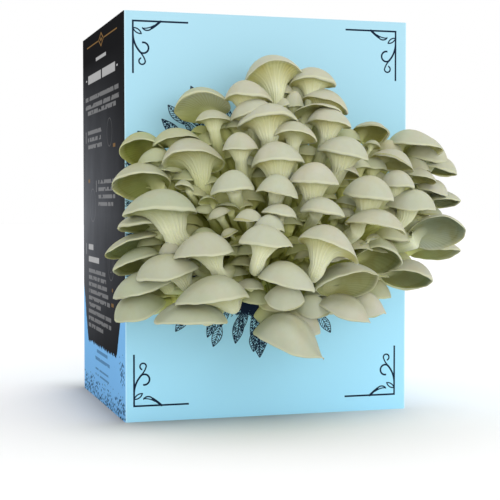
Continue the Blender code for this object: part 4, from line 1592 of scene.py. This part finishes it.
    def grow(self, name: str, template: TubeTemplate, stations: Growth, canopy: np.ndarray) -> bpy.types.Mesh:
        """Builds the mushroom's mesh.

        Args:
            name: The mesh's name.
            template: The tube whose rings are moved.
            stations: Where the rings lie.
            canopy: The centres of the large caps, whose cover sets the painted shade of what lies behind
                them.

        Returns:
            A closed mesh with the attributes that its finish reads.
        """
        mesh = template.copy(name)
        angle = template.angle
        count = len(angle)
        place = np.zeros((count, 3))
        growth, gill = np.zeros((2, count))
        for number, (points, stage, gilled) in enumerate(self.rings_of(angle, stations)):
            chosen = template.ring == number
            place[chosen] = points[chosen]
            growth[chosen] = stage
            gill[chosen] = gilled
        move_vertices(mesh, place)
        ridge, tall = self.ridges(angle, growth)
        inward = gill * tall * (1 - ridge) - self.lumps(place) * LUMP_HEIGHT * MM
        move_vertices(mesh, place - vertex_normals(mesh) * inward[:, None])
        # Painted shade: a cap with a lit side gets a raised side attribute, so that the right side's painted
        # shade makes it cooler
        cooler = LIT_COOLER if self.number in LIT_SIDES else 0.0
        attributes = {
            "growth": growth,
            "ridge": np.where(gill > 0.02, ridge, 0.6),
            "tone": np.full(count, self.tone),
            "side": np.full(count, self.side + cooler),
            "hollow": self.painted_hollow_shade(angle, growth),
            "spoke": around(angle, self.tone * 9),
            "depth": painted_shade_depth(place, canopy),
        }
        for attribute, values in attributes.items():
            set_attribute(mesh, attribute, values)
        mesh.shade_smooth()
        return mesh

    def lumps(self, place: np.ndarray) -> np.ndarray:
        """Low uneven swellings.

        Args:
            place: The vertices.

        Returns:
            Their heights, from -1 to 1 or so.
        """
        shift = self.waves[9:12]
        total = np.zeros(len(place))
        for lean, length in LUMP_WAVES:
            wave = place @ np.array(lean) / (length * MM)
            total += 0.5 * np.sin(wave + shift[0] * length + shift[1])
        return total


def spread_feet(mushrooms: list[Mushroom]) -> list[Vector]:
    """Finds the places of the feet, pushed apart until the stems have room.

    Args:
        mushrooms: All that share the base.

    Returns:
        Each foot's direction from the base's centre.
    """
    feet = []
    for mushroom in mushrooms:
        line = mushroom.centre - BASE_CENTRE - UP * ROOT_BELOW_MIDDLE
        feet.append(Vector((line.x, min(line.y, -NEAREST_FOOT), line.z)).normalized())
    for _ in range(FOOT_ROUNDS):
        for i, first in enumerate(feet):
            for second in feet[i + 1 :]:
                apart = first - second
                short = FOOT_SPACING - apart.length
                if short > 0:
                    push = apart.normalized() * short / 2
                    first += push
                    second -= push
        for foot in feet:
            foot.y = min(foot.y, -FOOT_FORWARD)
            foot.normalize()
    return feet


def hides(cap: Cap, x: float, z: float) -> bool:
    """Tells if a cap, or the gills under it, stands in front of a point of the panel.

    Args:
        cap: The cap.
        x, z: The point, in millimetres.

    Returns:
        True if it does.
    """
    middle = (cap.left[0] + cap.right[0]) / 2
    width = cap.right[0] - cap.left[0]
    share = (x - cap.left[0]) / width
    line = cap.left[1] + (cap.right[1] - cap.left[1]) * share
    inside = HIDING_INSET < share < 1 - HIDING_INSET
    on_cap = inside and line - HIDING_MARGIN < z < line + cap.crown * HIDING_CROWN
    on_gills = abs(x - middle) < width * HIDING_GILLS and line - width * HIDING_STEM < z <= line
    return on_cap or on_gills


def fill_gaps() -> tuple[Cap, ...]:
    """Finds places for young mushrooms in the gaps that the larger caps leave in the cluster.

    Returns:
        Their caps, from the topmost down.
    """
    random = np.random.default_rng(YOUNG_SEED)
    grown = list(MUSHROOMS + SMALL_MUSHROOMS)
    young = []
    for z, x in itertools.product(YOUNG_ROWS, YOUNG_COLUMNS):
        x_here = x + random.uniform(-YOUNG_SHIFT, YOUNG_SHIFT)
        z_here = z + random.uniform(-YOUNG_SHIFT, YOUNG_SHIFT)
        width = random.uniform(*YOUNG_WIDTHS)
        tilt = random.uniform(-YOUNG_TILT, YOUNG_TILT)
        lean = random.uniform(*YOUNG_LEANS)
        close = []
        for cap in MUSHROOMS:
            to_x = (cap.left[0] + cap.right[0]) / 2 - x_here
            to_z = (cap.left[1] + cap.right[1]) / 2 + cap.crown / 2 - z_here
            if math.hypot(to_x, to_z) < CLOSE_CAPS:
                close.append((math.hypot(to_x, to_z), to_x, to_z, cap.out))
        turns = sorted(math.atan2(to_z, to_x) for _, to_x, to_z, _ in close)
        round_again = [turn + math.tau for turn in turns[:1]]
        widest = max((b - a for a, b in zip(turns, turns[1:] + round_again)), default=math.tau)
        if widest > WIDEST_OPENING or any(hides(cap, x_here, z_here) for cap in grown + young):
            continue
        nearest = sorted(close)[:NEAREST_CAPS]
        out = sum(entry[3] for entry in nearest) / len(nearest) * random.uniform(*YOUNG_SUNK)
        line = z_here - width * YOUNG_LOWERED
        left, right = (x_here - width / 2, line - tilt), (x_here + width / 2, line + tilt)
        young.append(Cap(left, right, width * YOUNG_CROWN, width * YOUNG_RIM, lean, out))
    return tuple(young)


def show(name: str, mesh: bpy.types.Mesh, finish: bpy.types.Material) -> bpy.types.Object:
    """Puts a mesh in the scene as a piece.

    Args:
        name: The piece's name.
        mesh: Its mesh.
        finish: Its only finish.

    Returns:
        The piece.
    """
    mesh.materials.clear()
    mesh.materials.append(finish)
    made = bpy.data.objects.new(name, mesh)
    bpy.context.scene.collection.objects.link(made)
    return made


def joined(name: str, meshes: list[bpy.types.Mesh], finish: bpy.types.Material) -> bpy.types.Object:
    """Several meshes as one piece.

    Args:
        name: The piece's name.
        meshes: What it holds. They are removed afterwards.
        finish: The finish of them all.

    Returns:
        The piece.
    """
    bm = bmesh.new()
    for mesh in meshes:
        bm.from_mesh(mesh)
        bpy.data.meshes.remove(mesh)
    whole = bpy.data.meshes.new(name)
    bm.to_mesh(whole)
    bm.free()
    whole.shade_smooth()
    return show(name, whole, finish)


@dataclass
class Cluster:
    """The cluster: its base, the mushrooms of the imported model, and the smaller ones between them."""

    finish: bpy.types.Material
    large: Growth = field(default_factory=Growth)
    large_segments: int = 176
    small_segments: int = 96
    young_segments: int = 64
    mushrooms: list[Mushroom] = field(default_factory=list)
    canopy: np.ndarray | None = None

    def build(self) -> None:
        """Grows every piece of the cluster."""
        self.mushrooms = [Mushroom(number, cap) for number, cap in enumerate(MUSHROOMS, 1)]
        for mushroom, direction in zip(self.mushrooms, spread_feet(self.mushrooms)):
            mushroom.plant(direction)
        self.canopy = rows([mushroom.centre for mushroom in self.mushrooms])
        template = TubeTemplate(self.large.rings(), self.large_segments)
        for number, mushroom in enumerate(self.mushrooms, 1):
            node = f"mushroom_{number:02d}"
            mesh = mushroom.grow(f"{node}_grown", template, self.large, self.canopy)
            piece = show(f"{node}_grown", mesh, self.finish)
            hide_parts(node)
            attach(piece, "root")
        LOG.info("%d mushrooms grown", len(self.mushrooms))
        half = len(SMALL_MUSHROOMS) // 2
        self.build_small("small_mushrooms_first", SMALL_MUSHROOMS[:half], FIRST_SMALL, self.small_segments)
        number = FIRST_SMALL + half
        self.build_small("small_mushrooms_second", SMALL_MUSHROOMS[half:], number, self.small_segments)
        young = fill_gaps()
        half = len(young) // 2
        self.build_small("young_mushrooms_upper", young[:half], FIRST_YOUNG_UPPER, self.young_segments)
        self.build_small("young_mushrooms_lower", young[half:], FIRST_YOUNG_LOWER, self.young_segments)
        self.build_base()

    def build_small(self, name: str, caps: tuple[Cap, ...], first_number: int, segments: int) -> None:
        """Grows some smaller mushrooms as one joined piece.

        Args:
            name: The piece's name.
            caps: Their caps.
            first_number: Seeds the first one's irregularities.
            segments: The vertices around each of them.
        """
        template = TubeTemplate(self.large.rings(), segments)
        meshes = []
        for number, cap in enumerate(caps, first_number):
            mushroom = Mushroom(number, cap)
            mushroom.gill_count = segments // 4
            line = mushroom.centre - BASE_CENTRE - UP * ROOT_BELOW_MIDDLE
            line.y = min(line.y, -NEAREST_FOOT)
            mushroom.plant(line.normalized())
            meshes.append(mushroom.grow(f"{name}_{number}", template, self.large, self.canopy))
        piece = joined(name, meshes, self.finish)
        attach(piece, "root")
        LOG.info("%s: %d, %d faces", name, len(meshes), len(piece.data.polygons))

    def build_base(self) -> None:
        """Builds the lumpy base that all the stems grow from."""
        template = TubeTemplate(BASE_RINGS, BASE_SEGMENTS)
        mesh = template.copy("cluster_base_grown")
        angle, ring = template.angle, template.ring
        slope = np.maximum((1 - ring / (BASE_RINGS - BACK_RINGS)) * math.pi / 2, 0)
        direction = np.stack(
            [np.cos(angle) * np.cos(slope), -np.sin(slope), np.sin(angle) * np.cos(slope)], axis=1
        )
        feet = rows([mushroom.foot for mushroom in self.mushrooms])
        centre = np.array(BASE_CENTRE)
        place = centre + direction * (BASE_RADII + BASE_OVER_SOLID)
        outward = direction / BASE_RADII
        outward /= np.linalg.norm(outward, axis=1)[:, None]
        gap = np.linalg.norm(place[:, None, :] - feet[None, :, :], axis=2)
        knobs = np.exp(-((gap / KNOB_RADIUS) ** 2)).sum(axis=1)
        swell = KNOB_HEIGHT * np.minimum(knobs, MOST_KNOB) * eased(slope / KNOBS_FULL_BY)
        place += outward * swell[:, None]
        behind = np.clip(ring - (BASE_RINGS - BACK_RINGS - 1), 0, BACK_RINGS)
        flat = behind > 0
        place[flat] = centre + (place[flat] - centre) * BACK_SHARES[behind][flat][:, None]
        place[flat, 1] = FRONT_Y + BACK_PLACES[behind][flat]
        move_vertices(mesh, place)
        bm = bmesh.new()
        bm.from_mesh(mesh)
        bmesh.ops.recalc_face_normals(bm, faces=bm.faces)
        bm.to_mesh(mesh)
        bm.free()
        for attribute, value in BASE_ATTRIBUTES.items():
            set_attribute(mesh, attribute, np.full(len(angle), value))
        set_attribute(mesh, "spoke", around(angle, slope * 3))
        mesh.shade_smooth()
        piece = show("cluster_base_grown", mesh, self.finish)
        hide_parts("cluster_base")
        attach(piece, "root")
        LOG.info("base of the cluster")


@dataclass
class Carton:
    """The carton and the spawn block, which keep their modelled shapes and get their finishes."""

    nodes: dict[str, bpy.types.Object]

    def dress(self) -> None:
        """Gives both their finishes."""
        for name, finish in (("carton", CartonFinish().make()), ("substrate_block", SpawnFinish().make())):
            mesh = self.nodes[name].data
            mesh.materials.clear()
            mesh.materials.append(finish)
            LOG.info("%s dressed", name)


@dataclass
class Studio:
    """The camera, the pale floor and the soft light.

    foot_shade: how strong the floor's painted shadow is in front of the box, to its left and to its right.
    foot_reach: the millimetres over which that fades.
    """

    floor_size: float = 12.0
    floor_colour: Triple = (0.97, 0.97, 0.975)
    floor_shade: Triple = (0.02, 0.02, 0.022)
    foot_shade: Triple = (0.62, 0.34, 0.16)
    foot_reach: float = 58.0
    front_strength: float = 1.62
    front_direction: Triple = (-0.12, 1.0, -0.06)
    key_strength: float = 0.32
    key_direction: Triple = (-0.30, 0.6, -1.15)
    softness: float = 50.0
    world_strength: float = 1.0

    def build(self) -> None:
        """Sets everything up."""
        self.place_camera()
        self.lay_floor()
        self.light()
        scene = bpy.context.scene
        scene.view_settings.view_transform = "Standard"
        scene.view_settings.look = "None"

    def place_camera(self) -> None:
        """Puts the camera at the photograph's viewing place."""
        data = bpy.data.cameras.new("camera")
        data.lens = CAMERA_LENS
        data.sensor_width = CAMERA_SENSOR
        data.clip_start = 0.01
        data.clip_end = 50.0
        camera = bpy.data.objects.new("camera", data)
        camera.location = EYE
        camera.rotation_euler = (math.pi / 2 + CAMERA_PITCH, 0.0, -CAMERA_YAW)
        bpy.context.scene.collection.objects.link(camera)
        bpy.context.scene.camera = camera
        LOG.info("camera placed")

    def lay_floor(self) -> None:
        """A plain pale floor, with a soft painted shadow around the foot of the box."""
        bm = bmesh.new()
        bmesh.ops.create_grid(bm, x_segments=1, y_segments=1, size=self.floor_size / 2)
        mesh = bpy.data.meshes.new("floor")
        bm.to_mesh(mesh)
        bm.free()
        bench = Bench("pale_floor")
        x, y, _ = bench.axes(bench.place(), 1 / MM)
        # Painted shadow: the floor is darkened around the box's footprint, fading over foot_reach
        aside = (x.size() - CARTON_WIDTH / MM / 2).most(0.0)
        before = (y.size() - CARTON_DEPTH / MM / 2).most(0.0)
        far = (aside * aside + before * before).math("SQRT")
        near = far.under(self.foot_reach / 2, self.foot_reach)
        front, left, right = self.foot_shade
        strength = front + (right - front) * x.over(45.0, 90.0) + (left - front) * x.under(-90.0, 40.0)
        colour = bench.blend(near * near * strength, self.floor_colour, self.floor_shade)
        bench.dress(Base_Color=colour, Roughness=0.9, Specular_IOR_Level=0.1)
        show("floor", mesh, bench.material)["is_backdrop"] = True

    def light(self) -> None:
        """A white surround, a broad light from the viewer's side and a weaker one from above left."""
        world = bpy.data.worlds.new("studio")
        world.use_nodes = True
        ground = world.node_tree.nodes["Background"]
        ground.inputs["Color"].default_value = (1.0, 1.0, 1.0, 1.0)
        ground.inputs["Strength"].default_value = self.world_strength
        bpy.context.scene.world = world
        self.shine("front", self.front_strength, self.front_direction)
        self.shine("key", self.key_strength, self.key_direction)

    def shine(self, name: str, strength: float, direction: Triple) -> None:
        """A broad even light.

        Args:
            name: Its name.
            strength: Its strength.
            direction: Where it shines to.
        """
        data = bpy.data.lights.new(name, "SUN")
        data.energy = strength
        data.angle = math.radians(self.softness)
        made = bpy.data.objects.new(name, data)
        made.rotation_euler = Vector(direction).to_track_quat("-Z", "Y").to_euler()
        bpy.context.scene.collection.objects.link(made)


def corners(bounds: object) -> list[list[float]]:
    """A box's two corners as plain lists of numbers."""
    return [[float(value) for value in corner] for corner in bounds]


def main() -> None:
    logging.basicConfig(level=logging.INFO, format="%(message)s")
    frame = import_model()
    packed = corners(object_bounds())
    Studio().build()
    Carton(frame["nodes"]).dress()
    Cluster(FleshFinish().make()).build()
    json.dumps({"packed": packed, "dressed": corners(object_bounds())})
    LOG.info("sizes written")


if __name__ == "__main__":
    main()
